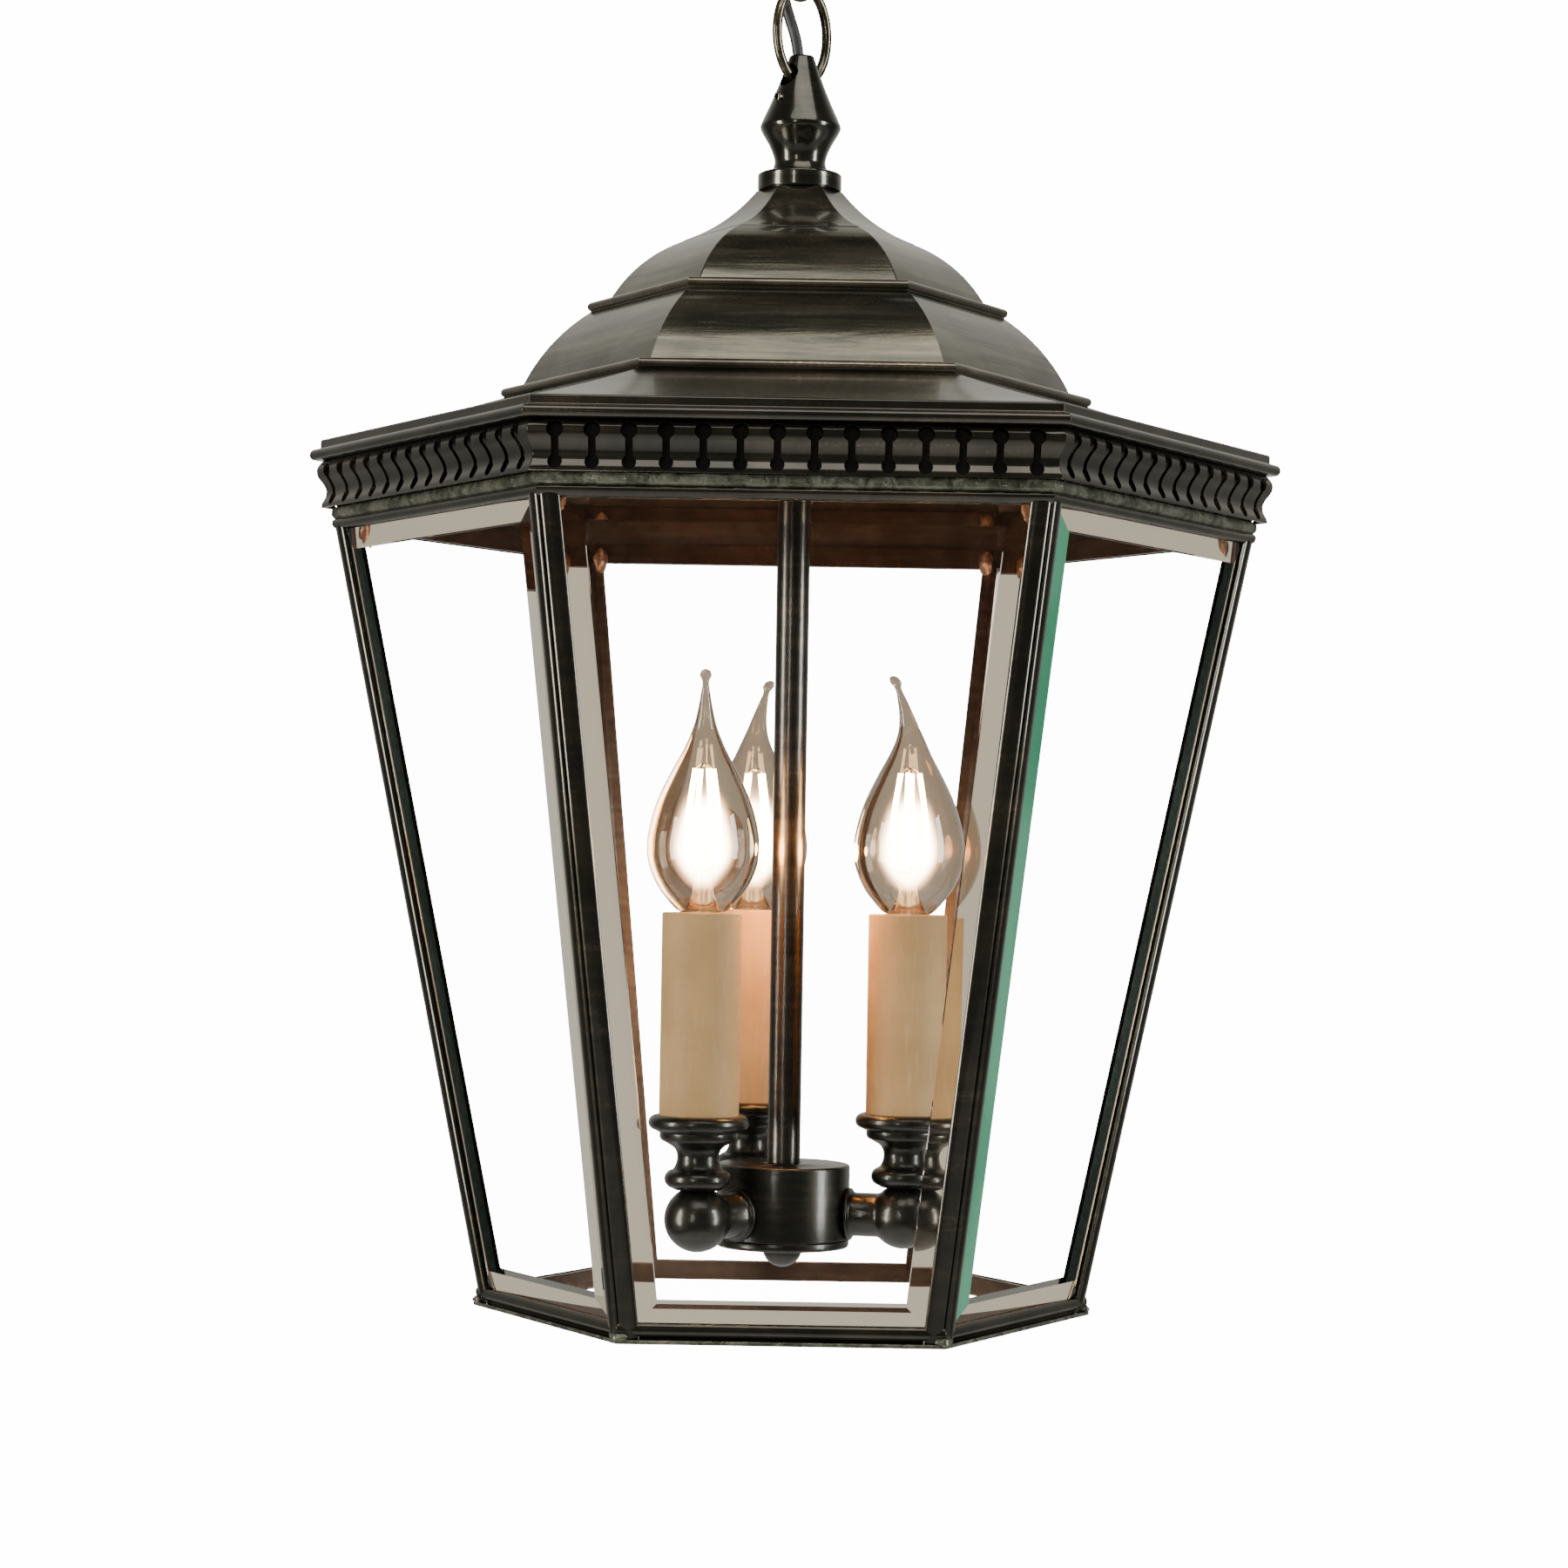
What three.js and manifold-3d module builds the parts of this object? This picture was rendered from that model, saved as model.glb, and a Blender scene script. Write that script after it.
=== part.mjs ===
// Six-sided hanging lantern in aged bronze: a tapering glazed cage under a tiered roof, with a
// three-candle cluster on a central rod, hung from two chain links and a ceiling rose.
// Millimetres, +Z up. The origin is the middle of the ceiling plate's top face.
import * as THREE from "three";
import { ConvexGeometry } from "three/addons/geometries/ConvexGeometry.js";
import { mergeVertices } from "three/addons/utils/BufferGeometryUtils.js";
import Module from "manifold-3d";

const wasm = await Module();
wasm.setup();

// ---- driving dimensions -------------------------------------------------------------------
const GAP = 0.3; // clearance between pieces that touch
const SIDES = 6;

// Cage: radii are to the outer corner lines, heights are above the cage's lower edge.
const CAGE_HEIGHT = 239.8; // to the underside of the top rail
const CAGE_TOP_RADIUS = 143.5;
const CAGE_BOTTOM_RADIUS = 94;
const CAME_WIDTH = 6.4; // visible width of a came on each face
const CAME_FACE = 1.2; // metal in front of the glass
const CAME_WEB = 1.6; // metal between two neighbouring panes
const CAME_LIP = 1.0; // metal behind the glass
const GLASS_THICKNESS = 4.2;
const GLASS_EDGE = 2.4; // thickness left at the edge of the bevel
const GLASS_SEAT = 2.5; // how far the glass goes under a came
const BEVEL_SEEN = 5.9; // visible width of the bevel
const BOTTOM_RAIL_HEIGHT = 6.1;
const BOTTOM_LIP_HEIGHT = 1.4;
const BOTTOM_LIP_OUT = 1.5;
const TOP_RAIL_HEIGHT = 6.6;
const TOP_BEAD_HEIGHT = 3.4;
const SOLDER_BAND_STEP = 0.8;

// Gallery: the pierced strip under the eaves.
const GALLERY_HEIGHT = 14.1;
const GALLERY_SHEET = 1.2;
const GALLERY_BULGE = 3.8; // outward of the top rail's corner line
const GALLERY_WAIST = 0.8;
const GALLERY_FLARE = 2.2;
const PIERCINGS_PER_SIDE = 14;
const PIERCING_PITCH = CAGE_TOP_RADIUS / PIERCINGS_PER_SIDE;
const PIERCING_WIDTH = 2.6;
const PIERCING_HEIGHT = 10.6;
const LINING_SHEET = 1;
const LINING_SETBACK = 2.5; // inward of the top rail's corner line

// Roof: three tiers of sheet over a cornice.
const EAVE_OVERHANG = 7.5; // outward of the cage's upper corners
const EAVE_RADIUS = CAGE_TOP_RADIUS + EAVE_OVERHANG;
const EAVE_NOSE = 3.5; // height of the rounded nose
const CORNICE_HEIGHT = 6.6;
const CORNICE_DEPTH = 11;
const FASCIA_SETBACK = 3.4;
const SKIRT_EDGE_SETBACK = 5.5;
const ROOF_SHEET = 1.2;
const SKIRT_RISE = 16.6;
const SHOULDER_BASE_RADIUS = 85.5;
const SHOULDER_RISE = 26.9;
const SHOULDER_SAGITTA = 2.2;
const CROWN_BASE_RADIUS = 59;
const CROWN_LOBE_RISE = 19.7;
const CROWN_LOBE_SAGITTA = 2.75;
const CREASE_RADIUS = 36;
const TENT_RISE = 15.6;
const TENT_SAGITTA = -1.9;
const APEX_RADIUS = 13.4;
const LEDGE_WIDTH = 6.4; // how far a tier's ledge stands out past the tier above
const BEAD_HEIGHT = 2.8;
const LEDGE_SEAT = 6; // how far a ledge runs in under the tier above

// Chain, hook and flex.
const LINK_HALF_WIDTH = 10.4; // to the middle of the wire
const LINK_HALF_HEIGHT = 15.2;
const LINK_WIRE_RADIUS = 1.55;
const LINK_TURN = THREE.MathUtils.degToRad(42); // plan direction of the lower link's plane
const LINK_PLAY = 0.35; // free space between two links' wires
const HOOK_EYE_HALF_WIDTH = 8;
const HOOK_EYE_HALF_HEIGHT = 9;
const HOOK_WIRE_RADIUS = 1.8;
const HOOK_STEM_RADIUS = 3;
const HOOK_STEM_LENGTH = 34;
const FLEX_RADIUS = 1.8;

// Finial, the turned loop holder on the apex.
const FINIAL_FLANGE_RADIUS = 13.05;
const FINIAL_NECK_RADIUS = 7.95;
const FINIAL_WAIST_RADIUS = 12.55;
const FINIAL_TOP_RADIUS = 3.65;
const FINIAL_HEIGHT = 42;
const FINIAL_BORE_PLAY = 2.05; // round the link's wire
const FINIAL_BORE_DROP = 6.6; // from the top of the finial to the axis of the cross bore
const GRUB_SCREW_RADIUS = 1.5;
const GRUB_SCREW_DROP = 14;

// Ceiling fittings.
const ROSE_RADIUS = 52;
const ROSE_HEIGHT = 27.4;
const ROSE_WALL = 1.5;
const ROSE_DROP = 18; // from the top of the hook's eye opening to the rose
const ROSE_FLAT_RADIUS = 20;
const ROSE_RIM_HEIGHT = 4; // the upright rim under the ceiling
const ROSE_SAGITTA = -5;
const PLATE_RADIUS = 40;
const PLATE_THICKNESS = 2;
const PLATE_SCREW_SPACING = 60;
const PLATE_SCREW_RADIUS = 2.3;
const SUPPLY_HOLE_RADIUS = 6;
const PLATE_BOSS_RADIUS = 6.5;
const PLATE_BOSS_HEIGHT = 12;
const GROMMET_RADIUS = 4.2;
const GROMMET_FLANGE = 1.2; // how far it stands below the rose
const GROMMET_TAIL = 2; // and above the rose's wall
const TERMINAL_SIZE = [12, 24, 9];
const TERMINAL_PITCH = 8;
const TERMINAL_SCREW_RADIUS = 1.6;
const TERMINAL_REACH = 20; // from the axis
const NUT_HEIGHT = 4;
const NUT_RADIUS = 6.6; // to its corners

// Rod and hub.
const ROD_RADIUS = 5.1;
const ROD_BORE_RADIUS = 3.5;
const STUD_RADIUS = 2.5;
const STUD_REACH = 14; // up into the rod
const STUD_DROP = 3; // below the hub, into the ball nut
const WIRE_SPACE = 3; // free space at the inner flex's lower end
const HUB_RADIUS = 20.6;
const HUB_BOTTOM = 19.9; // above the cage's lower edge
const HUB_HEIGHT = 25.6;
const HUB_WALL = 2.2;
const HUB_COVER_THICKNESS = 2.6;
const BALL_NUT_RADIUS = 6.1;

// Candles.
const CANDLE_COUNT = 3;
const CANDLE_FIRST_ANGLE = THREE.MathUtils.degToRad(-13);
const ARM_REACH = 38; // from the rod's axis to a candle's axis
const ARM_RADIUS = 6.8;
const ARM_FLANGE_RADIUS = 8;
const ARM_FLANGE_THICKNESS = 1.6;
const ELBOW_RADIUS = 10;
const ELBOW_HEIGHT = 30.6;
const CUP_HEIGHT = 23;
const CUP_RIM_WIDTH = 3.15; // outward of the candle sleeve
const CUP_COLLAR_RADIUS = 10.1;
const CUP_NECK_RADIUS = 6.4;
const CUP_FLOOR = 17.6; // height of the tube's seat above the cup's foot
const TUBE_RADIUS = 12.1;
const CUP_RIM_RADIUS = TUBE_RADIUS + CUP_RIM_WIDTH;
const TUBE_WALL = 1.2;
const TUBE_LENGTH = 65.7;
const HOLDER_RADIUS = 9.5;
const HOLDER_LENGTH = 62;
const CAP_RADIUS = 7;
const CAP_HEIGHT = 15;
const BULB_RADIUS = 17.2;
const BULB_NECK_RADIUS = 9;
const BULB_HEIGHT = 74;
const BULB_TIP_BEND = 6; // sideways throw of the flame tip

// ---- levels above the cage's lower edge ---------------------------------------------------
const TOP_RAIL_TOP = CAGE_HEIGHT + TOP_RAIL_HEIGHT;
const GALLERY_BOTTOM = TOP_RAIL_TOP + GAP;
const CORNICE_BOTTOM = GALLERY_BOTTOM + GALLERY_HEIGHT + GAP;
const CORNICE_TOP = CORNICE_BOTTOM + CORNICE_HEIGHT;
const SKIRT_BOTTOM = CORNICE_TOP + GAP;
const SKIRT_TOP = SKIRT_BOTTOM + SKIRT_RISE;
const SHOULDER_BOTTOM = SKIRT_TOP + GAP;
const SHOULDER_TOP = SHOULDER_BOTTOM + SHOULDER_RISE;
const CROWN_BOTTOM = SHOULDER_TOP + GAP;
const CREASE_LEVEL = CROWN_BOTTOM + CROWN_LOBE_RISE;
const APEX_LEVEL = CREASE_LEVEL + TENT_RISE;
const FINIAL_BOTTOM = APEX_LEVEL + GAP;
const FINIAL_TOP = FINIAL_BOTTOM + FINIAL_HEIGHT;
const BORE_LEVEL = FINIAL_TOP - FINIAL_BORE_DROP;
const LOWER_LINK_BOTTOM = BORE_LEVEL - (FINIAL_BORE_PLAY - GAP);
const LOWER_LINK_MIDDLE = LOWER_LINK_BOTTOM + LINK_HALF_HEIGHT;
const UPPER_LINK_BOTTOM = LOWER_LINK_MIDDLE + LINK_HALF_HEIGHT - 2 * LINK_WIRE_RADIUS - LINK_PLAY;
const UPPER_LINK_MIDDLE = UPPER_LINK_BOTTOM + LINK_HALF_HEIGHT;
const HOOK_BOTTOM =
  UPPER_LINK_MIDDLE + LINK_HALF_HEIGHT - LINK_WIRE_RADIUS - HOOK_WIRE_RADIUS - LINK_PLAY;
const HOOK_MIDDLE = HOOK_BOTTOM + HOOK_EYE_HALF_HEIGHT;
const ROSE_BOTTOM = HOOK_MIDDLE + ROSE_DROP;
const CEILING = ROSE_BOTTOM + ROSE_HEIGHT;
const ELBOW_TOP = ELBOW_HEIGHT + ELBOW_RADIUS;
const CUP_BOTTOM = ELBOW_TOP - 1;
const TUBE_BOTTOM = CUP_BOTTOM + CUP_FLOOR + GAP;
const TUBE_TOP = TUBE_BOTTOM + TUBE_LENGTH;

// ---- colours ------------------------------------------------------------------------------
const finish = (color, roughness, metalness) => () =>
  new THREE.MeshStandardMaterial({ color, roughness, metalness });
const bronze = finish(0x2d2a24, 0.3, 1);
const solder = finish(0x5d6154, 0.5, 1);
const steel = finish(0x8c8a84, 0.4, 1);
const clearGlass = () => {
  const material = finish(0xe8f0ec, 0.05, 0)();
  material.transparent = true;
  material.opacity = 0.3;
  return material;
};
const candleCard = finish(0xbea07d, 0.6, 0);
const blackPlastic = finish(0x1a1a1a, 0.5, 0);
const porcelain = finish(0xe6e2d8, 0.4, 0);

// ---- helpers ------------------------------------------------------------------------------
const pieces = new THREE.Group();

function add(name, geometry, material, parent = pieces) {
  const mesh = new THREE.Mesh(geometry, material());
  mesh.name = name;
  parent.add(mesh);
  return mesh;
}

function toSolid(geometry) {
  const bare = geometry.clone();
  bare.deleteAttribute("normal");
  bare.deleteAttribute("uv");
  const merged = mergeVertices(bare, 1e-4);
  return new wasm.Manifold(
    new wasm.Mesh({
      numProp: 3,
      vertProperties: merged.attributes.position.array,
      triVerts: new Uint32Array(merged.index.array),
    }),
  );
}

function toGeometry(solid) {
  const mesh = solid.getMesh();
  const geometry = new THREE.BufferGeometry();
  geometry.setAttribute("position", new THREE.BufferAttribute(mesh.vertProperties, 3));
  geometry.setIndex(new THREE.BufferAttribute(mesh.triVerts, 1));
  return geometry;
}

function cut(geometry, ...tools) {
  let solid = toSolid(geometry);
  for (const tool of tools) solid = solid.subtract(toSolid(tool));
  return toGeometry(solid);
}

function join(geometry, ...others) {
  let solid = toSolid(geometry);
  for (const other of others) solid = solid.add(toSolid(other));
  return toGeometry(solid);
}

// Turned piece about Z from a profile of [radius, height] points; a ring's profile is closed.
function turned(profile, segments = 24, start = 0) {
  const points = profile.map(([radius, height]) => new THREE.Vector2(radius, height));
  return new THREE.LatheGeometry(points, segments, start).rotateX(Math.PI / 2);
}

const closed = (profile) => [...profile, profile[0]];

// Six-sided piece with corners at 0, 60, 120 degrees and so on; radii are to the corners.
const sixSided = (profile) => turned(profile, SIDES, Math.PI / SIDES);

// Upright cylinder from one height to another.
function cylinder(radius, bottom, top, segments = 20) {
  const rod = new THREE.CylinderGeometry(radius, radius, top - bottom, segments);
  return rod.rotateX(Math.PI / 2).translate(0, 0, (bottom + top) / 2);
}

// Points on an arc from one profile point to another; the sagitta bulges to the left of travel
// when it is negative and to the right when it is positive.
function arc([r1, z1], [r2, z2], sagitta, steps = 4) {
  const chord = Math.hypot(r2 - r1, z2 - z1);
  const out = [-(z2 - z1) / chord, (r2 - r1) / chord];
  const points = [];
  for (let i = 0; i <= steps; i++) {
    const t = i / steps;
    const lift = sagitta * 4 * t * (1 - t);
    points.push([r1 + (r2 - r1) * t + out[0] * lift, z1 + (z2 - z1) * t + out[1] * lift]);
  }
  return points;
}

// Closed profile of a sheet whose outer line runs down the roof; its lower edge is cut level.
function sheet(outer, thickness) {
  const inner = outer.map(([r, z], i) => {
    const [r0, z0] = outer[Math.max(i - 1, 0)];
    const [r2, z2] = outer[Math.min(i + 1, outer.length - 1)];
    const before = new THREE.Vector2(z - z0, r0 - r).normalize();
    const after = new THREE.Vector2(z2 - z, r - r2).normalize();
    const mitre = before.clone().add(after).normalize();
    const stretch = thickness / Math.max(mitre.dot(i ? before : after), 0.5);
    return [r + mitre.x * stretch, z + mitre.y * stretch];
  });
  const foot = outer[outer.length - 1][1];
  const [r1, z1] = inner[inner.length - 2];
  const [r2, z2] = inner.pop();
  inner.push([r1 + ((r2 - r1) * (foot - z1)) / (z2 - z1), foot]);
  return closed([...outer, ...inner.reverse()].reverse());
}

// Oval ring of round wire in the XZ plane, with its middle at the origin.
function ovalRing(halfWidth, halfHeight, wireRadius, steps = 24) {
  const ring = new THREE.TorusGeometry(halfHeight, wireRadius, 8, steps);
  const at = ring.attributes.position;
  for (let i = 0; i < at.count; i++) {
    const turn = Math.atan2(at.getY(i), at.getX(i));
    const spread = Math.hypot(at.getX(i), at.getY(i)) - halfHeight;
    const normal = new THREE.Vector2(halfHeight * Math.cos(turn), halfWidth * Math.sin(turn));
    normal.normalize().multiplyScalar(spread);
    at.setXY(i, halfWidth * Math.cos(turn) + normal.x, halfHeight * Math.sin(turn) + normal.y);
  }
  return ring.rotateX(Math.PI / 2);
}

// Round cord along hand-placed points.
function cord(points, radius) {
  const path = new THREE.CatmullRomCurve3(points.map((point) => new THREE.Vector3(...point)));
  const section = new THREE.Shape().absarc(0, 0, radius, 0, 2 * Math.PI);
  const steps = Math.ceil(path.getLength() / (radius * 5));
  return new THREE.ExtrudeGeometry(section, {
    steps,
    curveSegments: 8,
    bevelEnabled: false,
    extrudePath: path,
  });
}

// ---- the slanted cage ---------------------------------------------------------------------
const APOTHEM = Math.cos(Math.PI / SIDES);
const TAPER = (CAGE_TOP_RADIUS - CAGE_BOTTOM_RADIUS) / CAGE_HEIGHT;
const TILT = Math.atan(TAPER * APOTHEM);
const BEVEL_SLOPE = (GLASS_THICKNESS - GLASS_EDGE) / (BEVEL_SEEN + GLASS_SEAT);
const GLASS_EDGE_FRONT = CAME_FACE + GAP + GLASS_SEAT * BEVEL_SLOPE;
const GLASS_BACK = GLASS_EDGE_FRONT + GLASS_EDGE;
const LIP_FRONT = GLASS_BACK + GAP;
const CAME_DEPTH = LIP_FRONT + CAME_LIP;
const GLASS_INSET = CAME_WIDTH - GLASS_SEAT;
const RAIL_GROOVE = GLASS_SEAT + GAP;

// Corner radius of the cage's outer face at a height, set in square to the face by an inset.
const cornerRadius = (height, inset = 0) =>
  CAGE_BOTTOM_RADIUS + TAPER * height - inset / (APOTHEM * Math.cos(TILT));
const onFace = (height, inset) => [cornerRadius(height, inset), height];

function bottomRail() {
  const lipRadius = CAGE_BOTTOM_RADIUS + BOTTOM_LIP_OUT;
  const floor = BOTTOM_RAIL_HEIGHT - RAIL_GROOVE;
  return sixSided(
    closed([
      [cornerRadius(0, CAME_DEPTH), 0],
      [lipRadius - 0.5, 0],
      [lipRadius, BOTTOM_LIP_HEIGHT / 2],
      [lipRadius - 0.5, BOTTOM_LIP_HEIGHT],
      onFace(BOTTOM_LIP_HEIGHT + 0.4, 0.6),
      onFace(BOTTOM_LIP_HEIGHT + 1.6, 0),
      onFace(BOTTOM_RAIL_HEIGHT - 1.2, 0),
      onFace(BOTTOM_RAIL_HEIGHT, 0.7),
      onFace(BOTTOM_RAIL_HEIGHT, CAME_FACE),
      onFace(floor, CAME_FACE),
      onFace(floor, LIP_FRONT),
      onFace(BOTTOM_RAIL_HEIGHT, LIP_FRONT),
      onFace(BOTTOM_RAIL_HEIGHT, CAME_DEPTH),
    ]),
  );
}

function topRail() {
  const beadTop = CAGE_HEIGHT + TOP_BEAD_HEIGHT;
  const ceiling = CAGE_HEIGHT + RAIL_GROOVE;
  return sixSided(
    closed([
      onFace(CAGE_HEIGHT, CAME_FACE),
      onFace(CAGE_HEIGHT, 0.7),
      onFace(CAGE_HEIGHT + 1, 0),
      onFace(beadTop - 1, 0),
      onFace(beadTop, SOLDER_BAND_STEP),
      onFace(TOP_RAIL_TOP, SOLDER_BAND_STEP),
      onFace(TOP_RAIL_TOP, CAME_DEPTH),
      onFace(CAGE_HEIGHT, CAME_DEPTH),
      onFace(CAGE_HEIGHT, LIP_FRONT),
      onFace(ceiling, LIP_FRONT),
      onFace(ceiling, CAME_FACE),
    ]),
  );
}

// Post section in the horizontal plane: a came on each face, a web between the panes and a lip
// behind them. A point is its distance along the face from the corner and its depth behind it.
function postSection() {
  const alongWeb = (depth) => depth * Math.tan(Math.PI / 6) + CAME_WEB / 2;
  const half = [
    [0.9 * Math.tan(Math.PI / 6), 0.9],
    [CAME_WIDTH * 0.2, 0.3],
    [CAME_WIDTH * 0.4, 0],
    [CAME_WIDTH * 0.75, 0],
    [CAME_WIDTH, 0.7],
    [CAME_WIDTH, CAME_FACE],
    [alongWeb(CAME_FACE), CAME_FACE],
    [alongWeb(LIP_FRONT), LIP_FRONT],
    [CAME_WIDTH, LIP_FRONT],
    [CAME_WIDTH, CAME_DEPTH],
    [CAME_DEPTH * Math.tan(Math.PI / 6), CAME_DEPTH],
  ];
  const place = ([along, depth]) => {
    const back = depth / Math.cos(TILT);
    return [-along / 2 - back * APOTHEM, along * APOTHEM - back / 2];
  };
  const left = half.map(place);
  const right = half.slice(1, -1).map(place).map(([x, y]) => [x, -y]);
  return new THREE.Shape([...left, ...right.reverse()].map(([x, y]) => new THREE.Vector2(x, y)));
}

function post() {
  const bottom = BOTTOM_RAIL_HEIGHT + GAP;
  const length = CAGE_HEIGHT - GAP - bottom;
  const prism = new THREE.ExtrudeGeometry(postSection(), { depth: length, bevelEnabled: false });
  const lean = new THREE.Matrix4().makeShear(0, 0, 0, 0, TAPER, 0);
  return prism.applyMatrix4(lean).translate(cornerRadius(bottom), 0, bottom);
}

// Bevelled pane lying in a panel's own plane: X across, Z up the slope, Y into the lantern.
function pane() {
  const slant = 1 / Math.cos(TILT);
  const sillHeight = (BOTTOM_RAIL_HEIGHT - GLASS_SEAT) * slant;
  const headHeight = (CAGE_HEIGHT + GLASS_SEAT) * slant - GLASS_BACK * Math.tan(TILT) - GAP;
  const halfSide = (height) => cornerRadius(height / slant) / 2;
  const bevel = BEVEL_SEEN + GLASS_SEAT;
  const outline = (inset, depth) => {
    const low = sillHeight + inset;
    const high = headHeight - inset;
    const side = GLASS_INSET + inset;
    return [
      [-halfSide(low) + side, low],
      [halfSide(low) - side, low],
      [halfSide(high) - side, high],
      [-halfSide(high) + side, high],
    ].map(([x, z]) => new THREE.Vector3(x, depth, z));
  };
  return new ConvexGeometry([
    ...outline(0, GLASS_BACK),
    ...outline(0, GLASS_EDGE_FRONT),
    ...outline(bevel, GLASS_BACK - GLASS_THICKNESS),
  ]);
}

add("bottom_rail", bottomRail(), bronze);
add("top_rail", topRail(), solder);
for (let side = 0; side < SIDES; side++) {
  const turn = (side * 2 * Math.PI) / SIDES;
  add(`post_${side + 1}`, post(), bronze).rotation.z = turn;
  const panel = new THREE.Group();
  panel.rotation.z = turn;
  const slope = new THREE.Group();
  slope.position.y = -CAGE_BOTTOM_RADIUS * APOTHEM;
  slope.rotation.x = TILT;
  panel.add(slope);
  pieces.add(panel);
  add(`pane_${side + 1}`, pane(), clearGlass, slope);
}

// ---- gallery, cornice and roof ------------------------------------------------------------
function gallery() {
  const base = cornerRadius(TOP_RAIL_TOP);
  const up = (share) => GALLERY_BOTTOM + GALLERY_HEIGHT * share;
  const outer = [
    [base + (GALLERY_BULGE + GALLERY_WAIST) / 2, up(1)],
    [base + GALLERY_BULGE, up(0.8)],
    [base + GALLERY_WAIST, up(0.3)],
    [base + GALLERY_FLARE, up(0)],
  ];
  const middle = GALLERY_BOTTOM + GALLERY_HEIGHT / 2;
  const tools = [];
  for (let side = 0; side < SIDES; side++) {
    for (let i = 0; i < PIERCINGS_PER_SIDE; i++) {
      const slot = new THREE.BoxGeometry(PIERCING_WIDTH, GALLERY_BULGE * 6, PIERCING_HEIGHT);
      const along = (i - (PIERCINGS_PER_SIDE - 1) / 2) * PIERCING_PITCH;
      slot.translate(along, -base * APOTHEM, middle);
      tools.push(slot.rotateZ((side * 2 * Math.PI) / SIDES));
    }
  }
  return cut(sixSided(sheet(outer, GALLERY_SHEET)), ...tools);
}

// Plain strip behind the gallery, which closes its piercings.
function galleryLining() {
  const outer = cornerRadius(TOP_RAIL_TOP) - LINING_SETBACK;
  const inner = outer - LINING_SHEET / APOTHEM;
  const top = CORNICE_BOTTOM - GAP;
  return sixSided(
    closed([
      [inner, GALLERY_BOTTOM],
      [outer, GALLERY_BOTTOM],
      [outer, top],
      [inner, top],
    ]),
  );
}

function cornice() {
  const fascia = EAVE_RADIUS - FASCIA_SETBACK;
  const inner = EAVE_RADIUS - CORNICE_DEPTH;
  const nose = [EAVE_RADIUS - 1.6, CORNICE_BOTTOM];
  const noseTop = [EAVE_RADIUS - 1.6, CORNICE_BOTTOM + EAVE_NOSE];
  return sixSided(
    closed([
      [inner, CORNICE_BOTTOM],
      ...arc(nose, noseTop, -1.6),
      [fascia, CORNICE_BOTTOM + EAVE_NOSE + 0.4],
      [fascia, CORNICE_TOP],
      [inner, CORNICE_TOP],
    ]),
  );
}

// A tier's ledge and bead, from under the tier above out to the bead's lower edge.
const ledge = (radiusAbove, top) => [
  [radiusAbove - LEDGE_SEAT, top],
  [radiusAbove + LEDGE_WIDTH - 0.8, top],
  [radiusAbove + LEDGE_WIDTH, top - BEAD_HEIGHT / 2],
  [radiusAbove + LEDGE_WIDTH - 0.6, top - BEAD_HEIGHT],
];

const skirtEdge = [EAVE_RADIUS - SKIRT_EDGE_SETBACK, SKIRT_BOTTOM];
const skirt = [...ledge(SHOULDER_BASE_RADIUS, SKIRT_TOP), skirtEdge];
const shoulderStart = [CROWN_BASE_RADIUS + LEDGE_WIDTH, SHOULDER_TOP - BEAD_HEIGHT - 0.6];
const shoulder = [
  ...ledge(CROWN_BASE_RADIUS, SHOULDER_TOP),
  ...arc(shoulderStart, [SHOULDER_BASE_RADIUS, SHOULDER_BOTTOM], SHOULDER_SAGITTA),
];
const rodHole = (ROD_RADIUS + GAP) / APOTHEM; // six-sided, so widened to clear the round rod
const crown = [
  [rodHole, APEX_LEVEL],
  ...arc([APEX_RADIUS, APEX_LEVEL], [CREASE_RADIUS, CREASE_LEVEL], TENT_SAGITTA),
  ...arc([CREASE_RADIUS, CREASE_LEVEL], [CROWN_BASE_RADIUS, CROWN_BOTTOM], CROWN_LOBE_SAGITTA)
    .slice(1),
];

add("gallery", gallery(), bronze);
add("gallery_lining", galleryLining(), bronze);
add("eave_cornice", cornice(), bronze);
add("roof_skirt", sixSided(sheet(skirt, ROOF_SHEET)), bronze);
add("roof_shoulder", sixSided(sheet(shoulder, ROOF_SHEET)), bronze);
add("roof_crown", sixSided(sheet(crown, ROOF_SHEET)), bronze);

// ---- finial -------------------------------------------------------------------------------
const linkDirection = new THREE.Vector3(Math.cos(LINK_TURN), Math.sin(LINK_TURN), 0);
const flexEntry = new THREE.Vector3(-1.2, 0, FINIAL_TOP);
const FLEX_SOCKET_DEPTH = 2.2;
const ROD_SOCKET_DEPTH = 8;
const GRUB_SCREW_SEAT = 3;

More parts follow.
